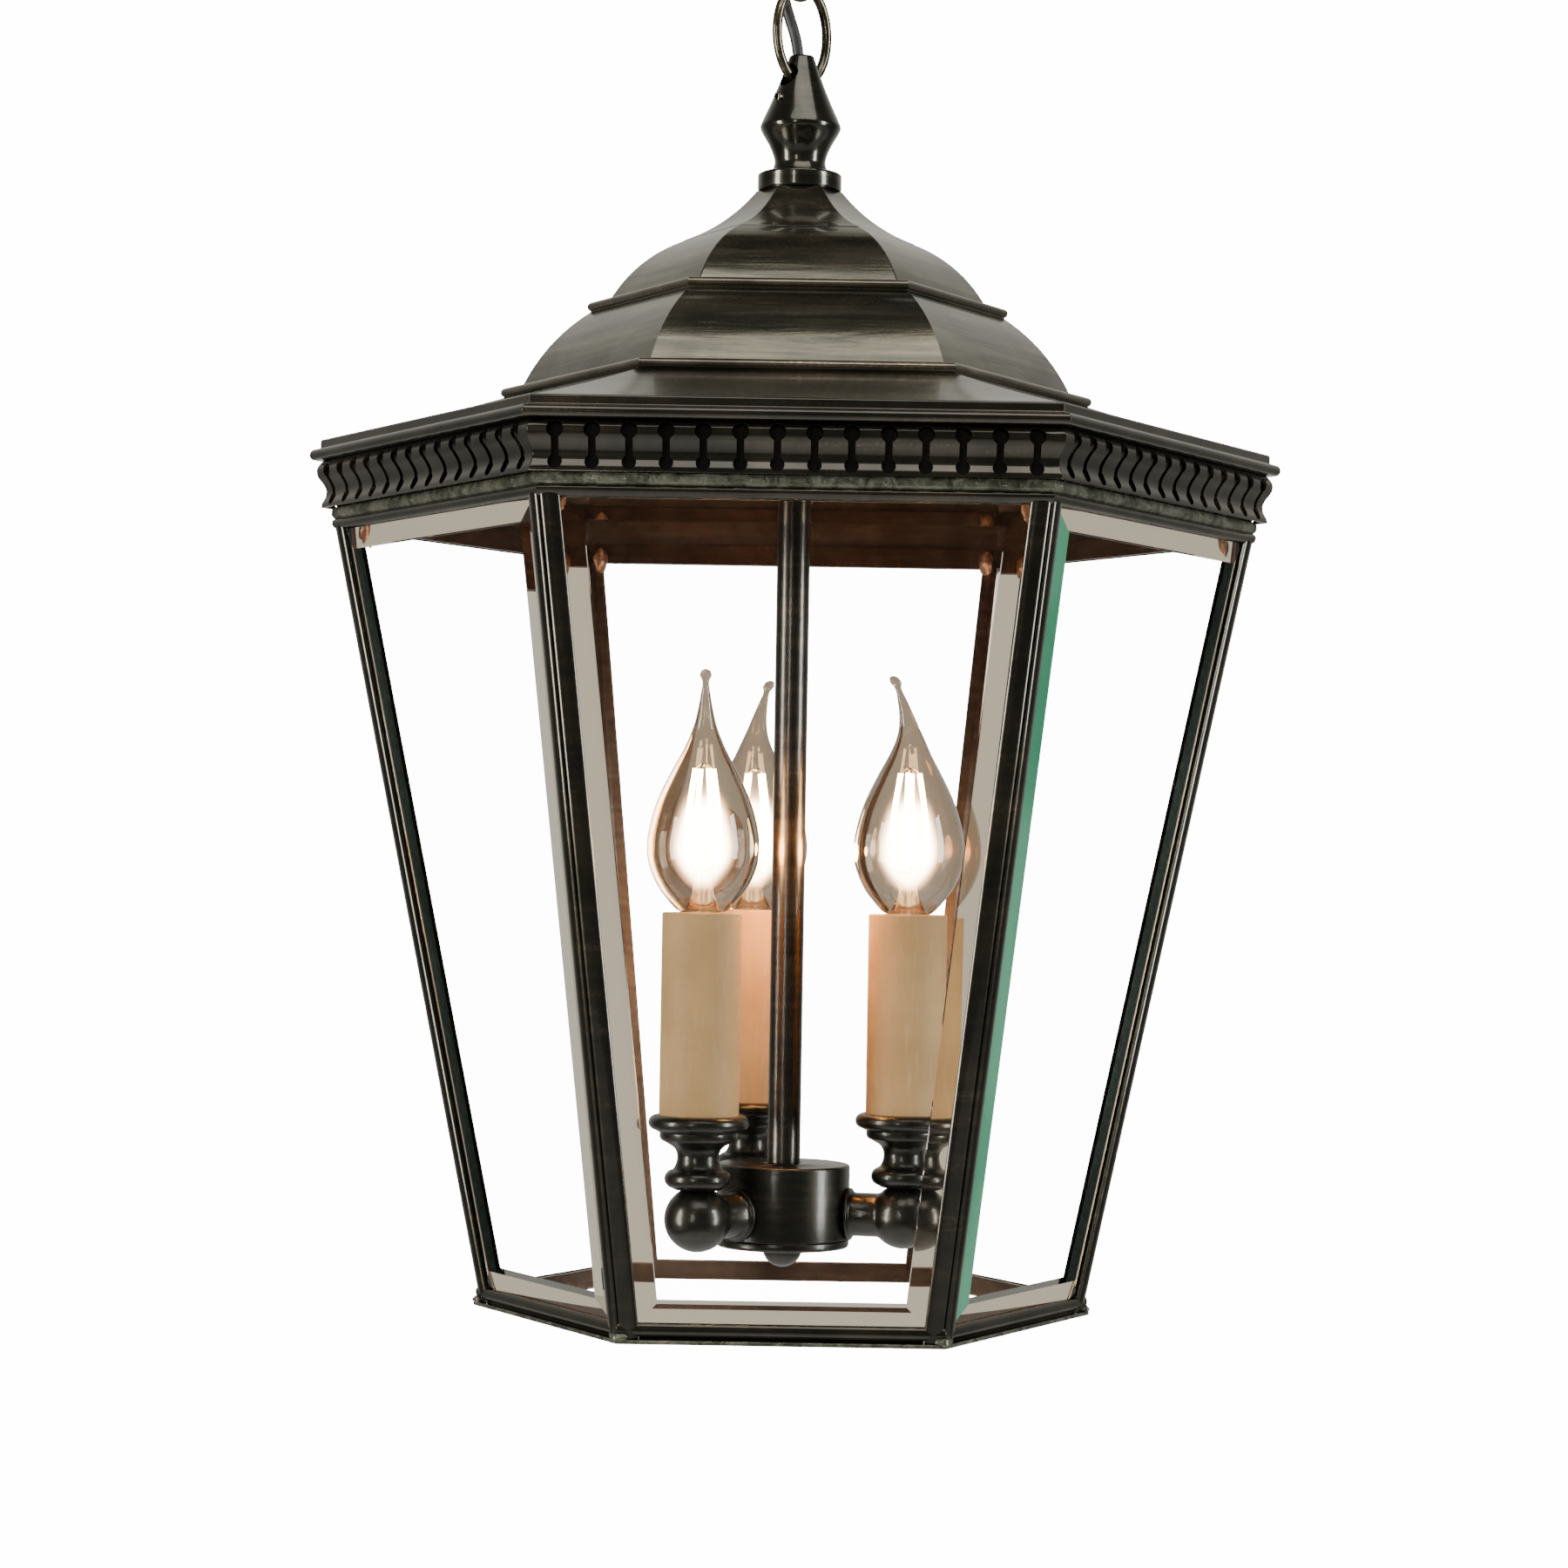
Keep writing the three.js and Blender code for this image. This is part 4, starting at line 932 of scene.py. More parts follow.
for tier, radius, top in (
    (shoulder, CROWN_RADIUS, SHOULDER_TOP), (skirt, SHOULDER_RADIUS, SKIRT_TOP),
):
    lowest = up(top - 2 * BEAD)
    paint(tier, 2, lambda c, n, z=lowest: c.z > z and n.z > -0.6 and not faces_in(c, n))

# %% [markdown]
# The eave cornice is a heavier strip that hides the joint between the roof and the gallery. It
# has an upright band above and a rounded nose below, and its hips are mitred.

# %% Eave cornice
CORNICE_FOOT, CORNICE_TOP = span("eave_cornice")
FASCIA = EAVE_RADIUS - 3.4
NOSE = 1.75
CORNICE_INNER = EAVE_RADIUS - 11
cornice = turned(
    "cornice",
    [
        (CORNICE_INNER, CORNICE_FOOT),
        *bead((EAVE_RADIUS - NOSE, CORNICE_FOOT + NOSE), NOSE, -90, 90, 12),
        *bead((FASCIA + 0.7, CORNICE_FOOT + 2 * NOSE + 0.7), 0.7, 270, 180, 4),
        (FASCIA, CORNICE_TOP - 0.8), *bead((FASCIA - 0.8, CORNICE_TOP - 0.8), 0.8, 20, 90, 4),
        (CORNICE_INNER, CORNICE_TOP),
    ],
    6, closed=True,
)
soften(cornice, 0.45)
settle(cornice, "lantern", ["eave_cornice"], "dark_bronze", dark_bronze, inner_copper)
paint(cornice, 1, faces_in)

# %% [markdown]
# Under the eaves runs the gallery, a strip of sheet with an S-shaped bulge, pierced all round by
# keyholes: a round head above, a narrow neck and a lobe below. The strip is a six-sided ring. One
# keyhole cutter is drawn as a flat outline, extruded, and copied along each side, and a Boolean
# modifier cuts all of them at once.

# %% Gallery
GALLERY_TOP = level("gallery", 1) + JOINT
GALLERY_FOOT = level("gallery", 0) - JOINT
GALLERY_RADIUS = half_width("gallery")
KEYHOLES = 14
PITCH = 10.25
SQUARE = math.cos(math.radians(30))  # from a hexagon's corner radius to its flat's distance
bulges = ((2.0, 0), (0.1, 2.2), (0.2, 4.8), (2.0, 7.3), (3.0, 9.3), (2.8, 11.3), (1.8, 13.2))
s_curve = [(GALLERY_RADIUS - inwards, GALLERY_TOP - down) for inwards, down in bulges]
s_curve = flowing([*s_curve, (GALLERY_RADIUS - 1.5, GALLERY_FOOT)], 3)
inner_curve = [(r - SHEET, z) for r, z in reversed(s_curve)]
gallery = turned("pierced_gallery", [*s_curve, *inner_curve], 6, closed=True)
soften(gallery, 0.3, 40)


def keyhole_outline():
    """Points round one keyhole, as (sideways, height) in millimetres."""
    head = (0, GALLERY_TOP - 3.2, 2.4)
    lobe = (0, GALLERY_FOOT + 2.75, 2.05)
    half_neck = 1.05
    line = []
    for (x, z, radius), middle in ((head, 90), (lobe, 270)):
        reach = 180 - math.degrees(math.asin(half_neck / radius))
        for i in range(15):
            turn = math.radians(middle - reach + 2 * reach * i / 14)
            line.append((x + radius * math.cos(turn), z + radius * math.sin(turn)))
    return line


def cut(piece, cutter):
    """Takes a cutter's shape out of a piece, and removes the cutter."""
    apply(piece, "BOOLEAN", object=cutter, operation="DIFFERENCE", solver="EXACT")
    bpy.data.objects.remove(cutter)


front = -(GALLERY_RADIUS + 3) * SQUARE * MM
keyhole = prism([(x * MM, front, up(z)) for x, z in keyhole_outline()], (0, 12 * MM, 0))
cutters = []
for side in range(6):
    for i in range(KEYHOLES):
        shift = Matrix.Translation(((i - (KEYHOLES - 1) / 2) * PITCH * MM, 0, 0))
        cutters.append(own_copy(keyhole, "keyhole", plan_turn(60 * side) @ shift))
bpy.data.objects.remove(keyhole)
select_only(*cutters)
bpy.ops.object.join()
cut(gallery, bpy.context.object)
settle(gallery, "lantern", ["gallery"], "dark_bronze", dark_bronze, inner_copper, smooth=28)
paint(gallery, 1, faces_in)

# %% [markdown]
# The cage's rails and posts are cames: strips with a rounded face outside, a groove for the glass
# and a lip behind it. All of them follow the cage's slope, so one function gives a point at any
# height and any depth behind the slanted face, and another the points up a came's rounded face.

# %% Cage geometry
CAGE_BASE = 94.0  # corner radius at the cage's lower edge
TAPER = (half_width("top_rail") - 0.18 - CAGE_BASE) / (CAGE_TOP + 2.4)
TILT = math.atan(TAPER * SQUARE)
CAME_WIDTH = 6.4
CAME_FACE = 1.2  # from the outer face back to the glass
LIP_FRONT = 4.74  # and to the lip behind the glass
CAME_DEPTH = 5.74
BOTTOM_RAIL_TOP = level("bottom_rail", 1)
GROOVE = 2.8  # how deep the glass may sit in a rail
print("taper", round(TAPER, 4), "tilt", round(math.degrees(TILT), 2))


def face_point(height, inset=0.0):
    """(corner radius, height) of a point set in square to the cage's slanted face."""
    return (CAGE_BASE + TAPER * height - inset / (SQUARE * math.cos(TILT)), height)


def rounded(foot, width, depth, shares):
    """Points up a came's rounded face, at given shares of its width."""
    return [
        face_point(foot + width * t, depth - depth * math.sin(math.pi * t) ** 0.7) for t in shares
    ]


# %% [markdown]
# The bottom rail has a rounded came over a thin lip. The top rail has a half-round bead and, above
# it, a band of solder where the cage was joined to the gallery.

# %% Rails
bottom_rail = turned(
    "rail_bottom",
    [
        face_point(0, CAME_DEPTH), (CAGE_BASE + 0.7, 0),
        *bead((CAGE_BASE + 0.75, 0.7), 0.7, -60, 60, 5), (CAGE_BASE + 0.2, 1.45),
        *rounded(1.6, 4.4, 1.25, (0.0, 0.06, 0.14, 0.24, 0.36, 0.5, 0.64, 0.76, 0.86, 0.94, 1.0)),
        face_point(BOTTOM_RAIL_TOP - GROOVE, CAME_FACE),
        face_point(BOTTOM_RAIL_TOP - GROOVE, LIP_FRONT), face_point(BOTTOM_RAIL_TOP, LIP_FRONT),
        face_point(BOTTOM_RAIL_TOP, CAME_DEPTH),
    ],
    6, closed=True,
)
soften(bottom_rail, 0.2, 25)
rail_finishes = (dark_bronze, inner_copper, grey_solder)
settle(bottom_rail, "lantern", ["bottom_rail"], "dark_bronze", *rail_finishes)
paint(bottom_rail, 1, faces_in)
paint(bottom_rail, 2, lambda c, n: c.z < up(1.3) and not faces_in(c, n))

BEAD_TOP = CAGE_TOP + 3.4
top_rail = turned(
    "rail_top",
    [
        face_point(CAGE_TOP, CAME_FACE),
        *rounded(CAGE_TOP, 3.3, 1.1, (0.0, 0.08, 0.18, 0.3, 0.5, 0.7, 0.82, 0.92, 1.0)),
        face_point(BEAD_TOP + 0.15, 0.75), face_point(BEAD_TOP + 0.9, 0.35),
        face_point(BEAD_TOP + 2.0, 0.5), face_point(RAIL_TOP, 0.9),
        face_point(RAIL_TOP, CAME_DEPTH), face_point(CAGE_TOP, CAME_DEPTH),
        face_point(CAGE_TOP, LIP_FRONT), face_point(CAGE_TOP + GROOVE, LIP_FRONT),
        face_point(CAGE_TOP + GROOVE, CAME_FACE),
    ],
    6, closed=True,
)
soften(top_rail, 0.2, 25)
settle(top_rail, "lantern", ["top_rail"], "solder_band", *rail_finishes)
paint(top_rail, 1, faces_in)
paint(top_rail, 2, lambda c, n: c.z > up(BEAD_TOP) and not faces_in(c, n))

# %% [markdown]
# A corner post is two rounded cames that meet at the corner with a fine groove between them, a
# web that keeps the two panes apart, and a lip behind each pane. Its section is drawn flat, then
# extruded along the slope of the cage, and the post is copied round to the other five corners.

# %% Posts


def post_section():
    """Half of a post's section, from the corner inwards: (along the face, depth behind it)."""
    lobe = []
    for i in range(11):
        turn = math.pi * i / 10
        lobe.append((3.62 - 2.8 * math.cos(turn), CAME_FACE * (1 - math.sin(turn) ** 0.8)))
    slope = math.tan(math.radians(30))
    return [
        (0.98 * slope, 0.98), *lobe, (CAME_FACE * slope + 0.8, CAME_FACE + 0.02),
        (LIP_FRONT * slope + 0.8, LIP_FRONT), (CAME_WIDTH - 0.2, LIP_FRONT),
        (CAME_WIDTH, LIP_FRONT + 0.2), (CAME_WIDTH, CAME_DEPTH - 0.2),
        (CAME_WIDTH - 0.2, CAME_DEPTH), (CAME_DEPTH * slope, CAME_DEPTH),
    ]


def on_plan(along, depth):
    """A point of the section as (out, sideways) from the cage's corner, in plan."""
    back = depth / math.cos(TILT)
    return (-along / 2 - back * SQUARE, along * SQUARE - back / 2)


half = [on_plan(along, depth) for along, depth in post_section()]
section = [*half, *[(x, -y) for x, y in reversed(half[1:-1])]]
POST_FOOT, POST_TOP = 1.6, CAGE_TOP + 0.6
rise = (POST_TOP - POST_FOOT) * MM
first_post = prism(
    [((x + face_point(POST_FOOT)[0]) * MM, y * MM, up(POST_FOOT)) for x, y in section],
    (rise * TAPER, 0, rise),
)
for corner in range(6):
    post = own_copy(first_post, f"corner_post_{corner + 1}", plan_turn(60 * corner))
    nodes = [f"post_{corner + 1}"]
    settle(post, "lantern", nodes, "dark_bronze", dark_bronze, inner_copper, smooth=32)
    paint(post, 1, faces_in)
bpy.data.objects.remove(first_post)

# %% [markdown]
# The joints were soldered by hand, so each foot of a post carries a small lump, and the top of
# each post has a run of copper-coloured solder inside the cage. A lump is a sphere, flattened and
# then pushed about a little, with its own shape at each corner.

# %% Solder lumps
random.seed(7)
UNEVEN = 0.16  # how far a lump's surface strays, as a share of its size


def lump(name, place, size, finish):
    """A flattened, uneven ball. Place is (radius, plan angle, height) and size its half axes."""
    radius, angle, height = place
    select_only()
    bpy.ops.mesh.primitive_uv_sphere_add(segments=20, ring_count=12, radius=1)
    piece = bpy.context.object
    piece.name = name
    waves = [random.uniform(0, 2 * math.pi) for _ in range(4)]
    for vertex in piece.data.vertices:
        x, y, z = vertex.co
        swell = 1 + UNEVEN * (
            math.sin(3 * x + waves[0]) * math.sin(3 * y + waves[1])
            + 0.7 * math.sin(5 * z + waves[2]) * math.sin(4 * x + waves[3])
        )
        vertex.co = Vector((x * size[0], y * size[1], z * size[2])) * swell * MM
    piece.data.transform(plan_turn(angle) @ Matrix.Translation((radius * MM, 0, up(height))))
    settle(piece, "lantern", [], "solder_band", finish, smooth=60)


foot_radius = CAGE_BASE - 0.4
inside = face_point(CAGE_TOP - 1)[0] - 11.2
for corner in range(6):
    angle = 60 * corner
    lump(f"foot_solder_{corner + 1}", (foot_radius, angle, 1.9), (1.9, 2.6, 1.5), grey_solder)
    lump(
        f"post_solder_{corner + 1}",
        (inside + random.uniform(-0.5, 0.3), angle, CAGE_TOP + random.uniform(-1.5, 2)),
        (1.6, 2.2 + random.uniform(0, 0.8), 4.2 + random.uniform(-1, 1.2)), copper_solder,
    )

# %% [markdown]
# The panes are thick and have a flat bevel on all four edges. A flat pane is all but invisible,
# while its bevel bends the view and so reads as a frame of another tone. So the pane is made as
# one closed plate with a finish for each part: the flat middle, the bevel in front, the strip of
# back face behind the bevel, and the cut edge. On one pane the left bevel is an opaque painted
# green, a painted refraction for the green that the glass shows along its length at that slant. The
# plate starts as the middle of its back face, which is extruded once sideways and twice forwards.

# %% Panes
GLASS_SEAT = 2.5  # how deep the glass sits in its cames
BEVEL_WIDTH = 5.9 + GLASS_SEAT
GLASS_FRONT, GLASS_EDGE_FRONT, GLASS_BACK = 0.24, 2.04, 4.44
SILL = (BOTTOM_RAIL_TOP - GLASS_SEAT) / math.cos(TILT)
HEAD = (CAGE_TOP + GLASS_SEAT) / math.cos(TILT) - GLASS_BACK * math.tan(TILT) - 0.3


def pane_corners(inset, depth):
    """Four corners of the front pane's outline, set in from its edge and behind its face."""
    corners = []
    low, high = SILL + inset, HEAD - inset
    for across, slope in ((-1, low), (1, low), (1, high), (-1, high)):
        half = face_point(slope * math.cos(TILT))[0] / 2 - (CAME_WIDTH - GLASS_SEAT) - inset
        away = CAGE_BASE * SQUARE + slope * math.sin(TILT) - depth * math.cos(TILT)
        height = slope * math.cos(TILT) + depth * math.sin(TILT)
        corners.append(Vector((across * half * MM, -away * MM, up(height))))
    return corners


def move_selected(piece, corners):
    """Puts the four selected corners of a plate in their places, in edit mode."""
    bpy.ops.object.mode_set(mode="OBJECT")
    chosen = [v for v in piece.data.vertices if v.select]
    middle = sum((v.co for v in chosen), Vector()) / 4
    for vertex in chosen:
        right = vertex.co.x > middle.x
        high = vertex.co.z > middle.z
        vertex.co = corners[(2 if high else 1) if right else (3 if high else 0)]
    bpy.ops.object.mode_set(mode="EDIT")


select_only()
bpy.ops.mesh.primitive_plane_add(size=MM, rotation=(math.radians(90), 0, 0))
first_pane = bpy.context.object
bpy.ops.object.transform_apply(location=True, rotation=True, scale=True)
bpy.ops.object.mode_set(mode="EDIT")
bpy.ops.mesh.select_all(action="SELECT")
move_selected(first_pane, pane_corners(BEVEL_WIDTH, GLASS_BACK))
for inset, depth in ((0, GLASS_BACK), (0, GLASS_EDGE_FRONT), (BEVEL_WIDTH, GLASS_FRONT)):
    extrude(0, -MM, 0)
    move_selected(first_pane, pane_corners(inset, depth))
turn_outwards()
plate_normal = Vector((0, -math.cos(TILT), -math.sin(TILT)))
flat_area = 0.5 * max(face.area for face in first_pane.data.polygons)

for side in range(6):
    pane = own_copy(first_pane, f"bevelled_pane_{side + 1}", Matrix())
    # The second pane's left bevel gets the painted green refraction in place of clear bevel glass.
    green = painted_refraction_green if side == 1 else bevel_glass
    finishes = (pane_glass, bevel_glass, glass_edge, green, bevel_back)
    settle(pane, "lantern", [f"pane_{side + 1}"], "pane_glass", *finishes)
    for face in pane.data.polygons:
        facing = face.normal.dot(plate_normal)
        if face.area < flat_area and facing > 0.5:
            face.material_index = 3 if face.center.x < -20 * MM else 1
        elif face.area < flat_area:
            face.material_index = 4 if facing < -0.5 else 2
    pane.data.transform(plan_turn(60 * side))
bpy.data.objects.remove(first_pane)

# %% [markdown]
# Behind the pierced gallery stands a plain strip, which closes its keyholes and keeps the light in.
# Its outer face is painted near-black, a painted shade that makes the keyholes look black from
# outside. From inside the cage it is a brown band.

# %% Gallery lining
lining_foot, lining_top = span("gallery_lining")
lining_radius = half_width("gallery_lining")
lining = turned(
    "gallery_backing",
    [
        (lining_radius - SHEET, lining_foot - 0.25), (lining_radius, lining_foot - 0.25),
        (lining_radius, lining_top + 0.25), (lining_radius - SHEET, lining_top + 0.25),
    ],
    6, closed=True,
)
soften(lining, 0.2, 30)
# The outer face gets the near-black painted shade, the inner faces the copper.
settle(lining, "lantern", ["gallery_lining"], "dark_bronze", painted_shade_black, inner_copper)
paint(lining, 1, faces_in)

# %% [markdown]
# The finial was turned from a bar. Its outline is drawn from the flange up to the tip, and two
# holes are cut with Boolean modifiers: the cross bore for the lower link, and the socket where
# the flex goes in.

# %% Finial
BORE_LEVEL = FINIAL_TOP - 6.6
LINK_ANGLE = math.radians(42)
finial_foot = level("finial", 0)


def middle_of(node):
    """The z of a node's middle, in metres."""
    low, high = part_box(node)
    return (low.z + high.z) / 2


def drill(piece, radius, start, end):
    """Cuts a round hole of a radius between two points, all in millimetres."""
    first, last = (Vector((x * MM, y * MM, up(z))) for x, y, z in (start, end))
    select_only()
    bpy.ops.mesh.primitive_cylinder_add(
        vertices=28, radius=radius * MM, depth=(last - first).length
    )
    bit = bpy.context.object
    aim = (last - first).to_track_quat("Z", "Y").to_matrix().to_4x4()
    bit.data.transform(Matrix.Translation((first + last) / 2) @ aim)
    cut(piece, bit)


finial = turned(
    "turned_finial",
    above(
        finial_foot, (0, -0.25), (12.7, -0.25), *bead((12.4, 0.4), 0.65, -60, 0, 3), (13.05, 3.6),
        *bead((12.35, 4.3), 0.7, 0, 70, 4), (10.6, 5.6),
        *flowing(
            [
                (8.5, 6.3), (7.95, 8.4), (8.3, 10.6), (9.7, 14.0), (12.0, 18.0), (12.55, 19.6),
                (12.1, 21.1),
            ],
            4,
        ),
        *flowing([(11.3, 22.9), (9.0, 28.0), (6.4, 34.4), (4.4, 40.0), (3.95, 41.4)], 3),
        (3.6, 41.9), (0, 42.0),
    ),
    64,
)
across = (14 * math.cos(LINK_ANGLE), 14 * math.sin(LINK_ANGLE))
drill(finial, 3.6, (-across[0], -across[1], BORE_LEVEL), (*across, BORE_LEVEL))
socket = ((SOCKET_X, 0, FINIAL_TOP - 2.2), (SOCKET_X, 0, FINIAL_TOP + 2))
drill(finial, FLEX_RADIUS + 0.25, *socket)
settle(finial, "lantern", ["finial"], "dark_bronze", finial_bronze, smooth=32)

screw = turned(
    "socket_screw",
    [
        (0, 1.6), (0.8, 1.6), (0.8, 2.7), (1.0, 2.9), *bead((1.0, 2.4), 0.5, 90, 0, 4), (1.5, 0),
        (0, 0),
    ],
    24, foot=0,
)
screw_turn = math.radians(222)
aim = Vector((math.cos(screw_turn), math.sin(screw_turn), 0))
place = Vector((aim.x * 7.4 * MM, aim.y * 7.4 * MM, middle_of("grub_screw")))
screw.data.transform(Matrix.Translation(place) @ aim.to_track_quat("Z", "Y").to_matrix().to_4x4())
settle(screw, "lantern", ["grub_screw"], "dark_bronze", bead_bronze, smooth=40)

# %% [markdown]
# A chain link is a round wire bent to an oval and brazed shut. A torus gives the wire, and its
# points are then moved from the circle out to the oval, so that the wire stays round. The hook's
# eye is made in the same way, with a stem.

# %% Chain and hook
LINK_WIDE, LINK_TALL, LINK_WIRE = 10.4, 15.2, 1.55


def oval_ring(name, wide, tall, wire, middle, angle):
    """A ring of round wire, wide and tall to the middle of its wire, turned in plan."""
    select_only()
    bpy.ops.mesh.primitive_torus_add(
        major_segments=80, minor_segments=20, major_radius=tall * MM, minor_radius=wire * MM,
        rotation=(math.radians(90), 0, 0),
    )
    piece = bpy.context.object
    piece.name = name
    bpy.ops.object.transform_apply(location=True, rotation=True, scale=True)
    for vertex in piece.data.vertices:
        turn = math.atan2(vertex.co.z, vertex.co.x)
        spread = math.hypot(vertex.co.x, vertex.co.z) / MM - tall
        out = Vector((tall * math.cos(turn), wide * math.sin(turn))).normalized()
        vertex.co.x = (wide * math.cos(turn) + out.x * spread) * MM
        vertex.co.z = (tall * math.sin(turn) + out.y * spread) * MM
    piece.data.transform(Matrix.Translation((0, 0, middle)) @ Matrix.Rotation(angle, 4, "Z"))
    return piece


for node, body, angle in (
    ("link_lower", "lantern", LINK_ANGLE),
    ("link_upper", "upper_link", LINK_ANGLE + math.radians(90)),
):
    link = oval_ring(f"chain_{node}", LINK_WIDE, LINK_TALL, LINK_WIRE, middle_of(node), angle)
    settle(link, body, [node], "chain_bronze", chain_bronze, smooth=60)

EYE_WIDE, EYE_TALL, EYE_WIRE = 8, 9, 1.8
hook_foot, hook_top = span("chain_hook")
eye_middle = hook_foot + EYE_WIRE + EYE_TALL
eye = oval_ring("hanging_hook", EYE_WIDE, EYE_TALL, EYE_WIRE, up(eye_middle), LINK_ANGLE)
collar = [(0, 8.2), (2.2, 8.2), (3.6, 10.2), (3.9, 11.4), (3.5, 12.4), (3.0, 13.0)]
stem = turned("hook_stem", [*above(eye_middle, *collar), (3.0, hook_top), (0, hook_top)], 32)
select_only(eye, stem)
bpy.ops.object.join()
settle(eye, "ceiling_fitting", ["chain_hook"], "dark_bronze", dark_bronze, smooth=45)

# %% [markdown]
# The rose is a spun dome that hides the wiring. Its rim stops just short of the ceiling. The flex
# goes through a rubber grommet, and a six-sided nut under the dome holds it up.

# %% Ceiling rose
ROSE_RADIUS = half_width("ceiling_rose")
dome = bow((20, ROSE_FLOOR), (ROSE_RADIUS - 1.2, ROSE_TOP - 5.5), -5.0, 14)
dome_inside = [(r - 0.3, z + 1.5) for r, z in reversed(dome)]
rose = turned(
    "rose_dome",
    [
        (3.3, ROSE_FLOOR), *dome, *bead((ROSE_RADIUS - 1.0, ROSE_TOP - 3.6), 1.0, -90, 60, 6),
        (ROSE_RADIUS - 0.7, ROSE_TOP - 2.0), (ROSE_RADIUS - 0.7, ROSE_TOP),
        (ROSE_RADIUS - 2.2, ROSE_TOP), (ROSE_RADIUS - 2.4, ROSE_TOP - 3.4), *dome_inside,
        (3.3, ROSE_FLOOR + 1.5),
    ],
    72, closed=True,
)
drill(rose, 4.3, (GROMMET_X, 0, ROSE_FLOOR - 3), (GROMMET_X, 0, ROSE_FLOOR + 4))
settle(rose, "ceiling_fitting", ["ceiling_rose"], "dark_bronze", dark_bronze, smooth=32)

grommet = turned(
    "rubber_grommet",
    [
        (FLEX_RADIUS + 0.2, -1.2), *bead((4.3, -0.6), 0.6, -90, 90, 6), (4.0, 0.1), (3.9, 1.6),
        *bead((3.7, 2.4), 0.5, -90, 90, 5), (FLEX_RADIUS + 0.2, 2.9),
    ],
    32, closed=True, foot=up(ROSE_FLOOR),
)
grommet.data.transform(Matrix.Translation((GROMMET_X * MM, 0, 0)))
settle(grommet, "ceiling_fitting", ["cord_grommet"], "black_rubber", black_rubber, smooth=40)

nut_low, nut_high = span("hook_nut")
nut = turned(
    "hexagon_nut",
    [
        (3.6, nut_low), (5.7, nut_low), (6.6, nut_low + 0.6), (6.6, nut_high - 0.5),
        (6.1, nut_high), (3.6, nut_high),
    ],
    6, closed=True,
)
soften(nut, 0.2, 15)
settle(nut, "ceiling_fitting", ["hook_nut"], "dark_bronze", bead_bronze)

# %% [markdown]
# Inside the cage, one tube comes down from the finial to a round hub with a cover, and half a
# ball under the hub holds the two together. All of these are turned pieces.

# %% Rod and hub
rod_foot, rod_top = span("rod")
rod = turned(
    "central_rod",
    [
        (3.6, rod_foot - 0.25), (4.9, rod_foot - 0.25), (5.1, rod_foot), (5.1, rod_top - 0.3),
        (4.8, rod_top), (3.6, rod_top),
    ],
    48, closed=True,
)
settle(rod, "lantern", ["rod"], "brown_bronze", rod_bronze, smooth=35)

HUB_RADIUS = half_width("hub_body")
hub_foot, hub_top = span("hub_body")
hub = turned(
    "round_hub",
    [
        (HUB_RADIUS - 2.2, hub_foot - 0.25), (HUB_RADIUS - 0.35, hub_foot - 0.25),
        *bead((HUB_RADIUS - 0.35, hub_foot + 0.1), 0.35, -60, 0, 3),
        *bead((HUB_RADIUS - 0.9, hub_top - 0.9), 0.9, 0, 90, 6), (9.2, hub_top),
        (8.9, hub_top + 0.2), (6.0, hub_top + 0.2), (5.6, hub_top), (2.9, hub_top),
        (2.9, hub_top - 2.2), (HUB_RADIUS - 2.2, hub_top - 2.2),
    ],
    64, closed=True,
)
settle(hub, "lantern", ["hub_body"], "brown_bronze", brown_bronze, smooth=35)

cover_foot, cover_top = span("hub_cover")
cover = turned(
    "hub_base",
    [
        (2.9, cover_foot), (HUB_RADIUS - 1.6, cover_foot),
        *bead((HUB_RADIUS - 1.0, cover_foot + 1.0), 1.0, -80, 0, 5),
        *bead((HUB_RADIUS - 0.4, cover_top - 0.4), 0.4, 0, 80, 3), (2.9, cover_top),
    ],
    64, closed=True,
)
settle(cover, "lantern", ["hub_cover"], "brown_bronze", brown_bronze, smooth=35)

nut_top = level("ball_nut", 1)
nut_radius = half_width("ball_nut")
ball = []
for angle in (5, 14, 24, 34, 44, 54, 64, 73, 81, 87):
    turn = math.radians(angle)
    drop = 0.35 + (nut_radius - 0.35) * math.sin(turn)
    ball.append((nut_radius * math.cos(turn), nut_top - drop))
half_ball = turned(
    "half_ball_nut",
    [
        (2.9, nut_top), *bead((nut_radius - 0.3, nut_top - 0.3), 0.3, 90, 10, 3), *ball,
        (0, nut_top - nut_radius),
    ],
    40,
)
settle(half_ball, "ball_nut", ["ball_nut"], "brown_bronze", brown_bronze, smooth=50)

# %% [markdown]
# The three candles are the same, turned by a third of a circle. So each piece of a candle is
# modelled once, standing on the lantern's axis, and then copied out to the three stands.

# %% Candle stands
ARM_REACH = 38
ELBOW_HEIGHT = 30.6
ELBOW_RADIUS = 10
TUBE_RADIUS = 12.1
TIP_TURNS = (180, -67, 43)  # which way each lamp's tip leans, in degrees from its arm
BULB_FOOT, BULB_TIP = span("bulb_1")
TUBE_FOOT, TUBE_TOP = span("candle_tube_1")
CUP_FOOT, CUP_TOP = span("cup_1")


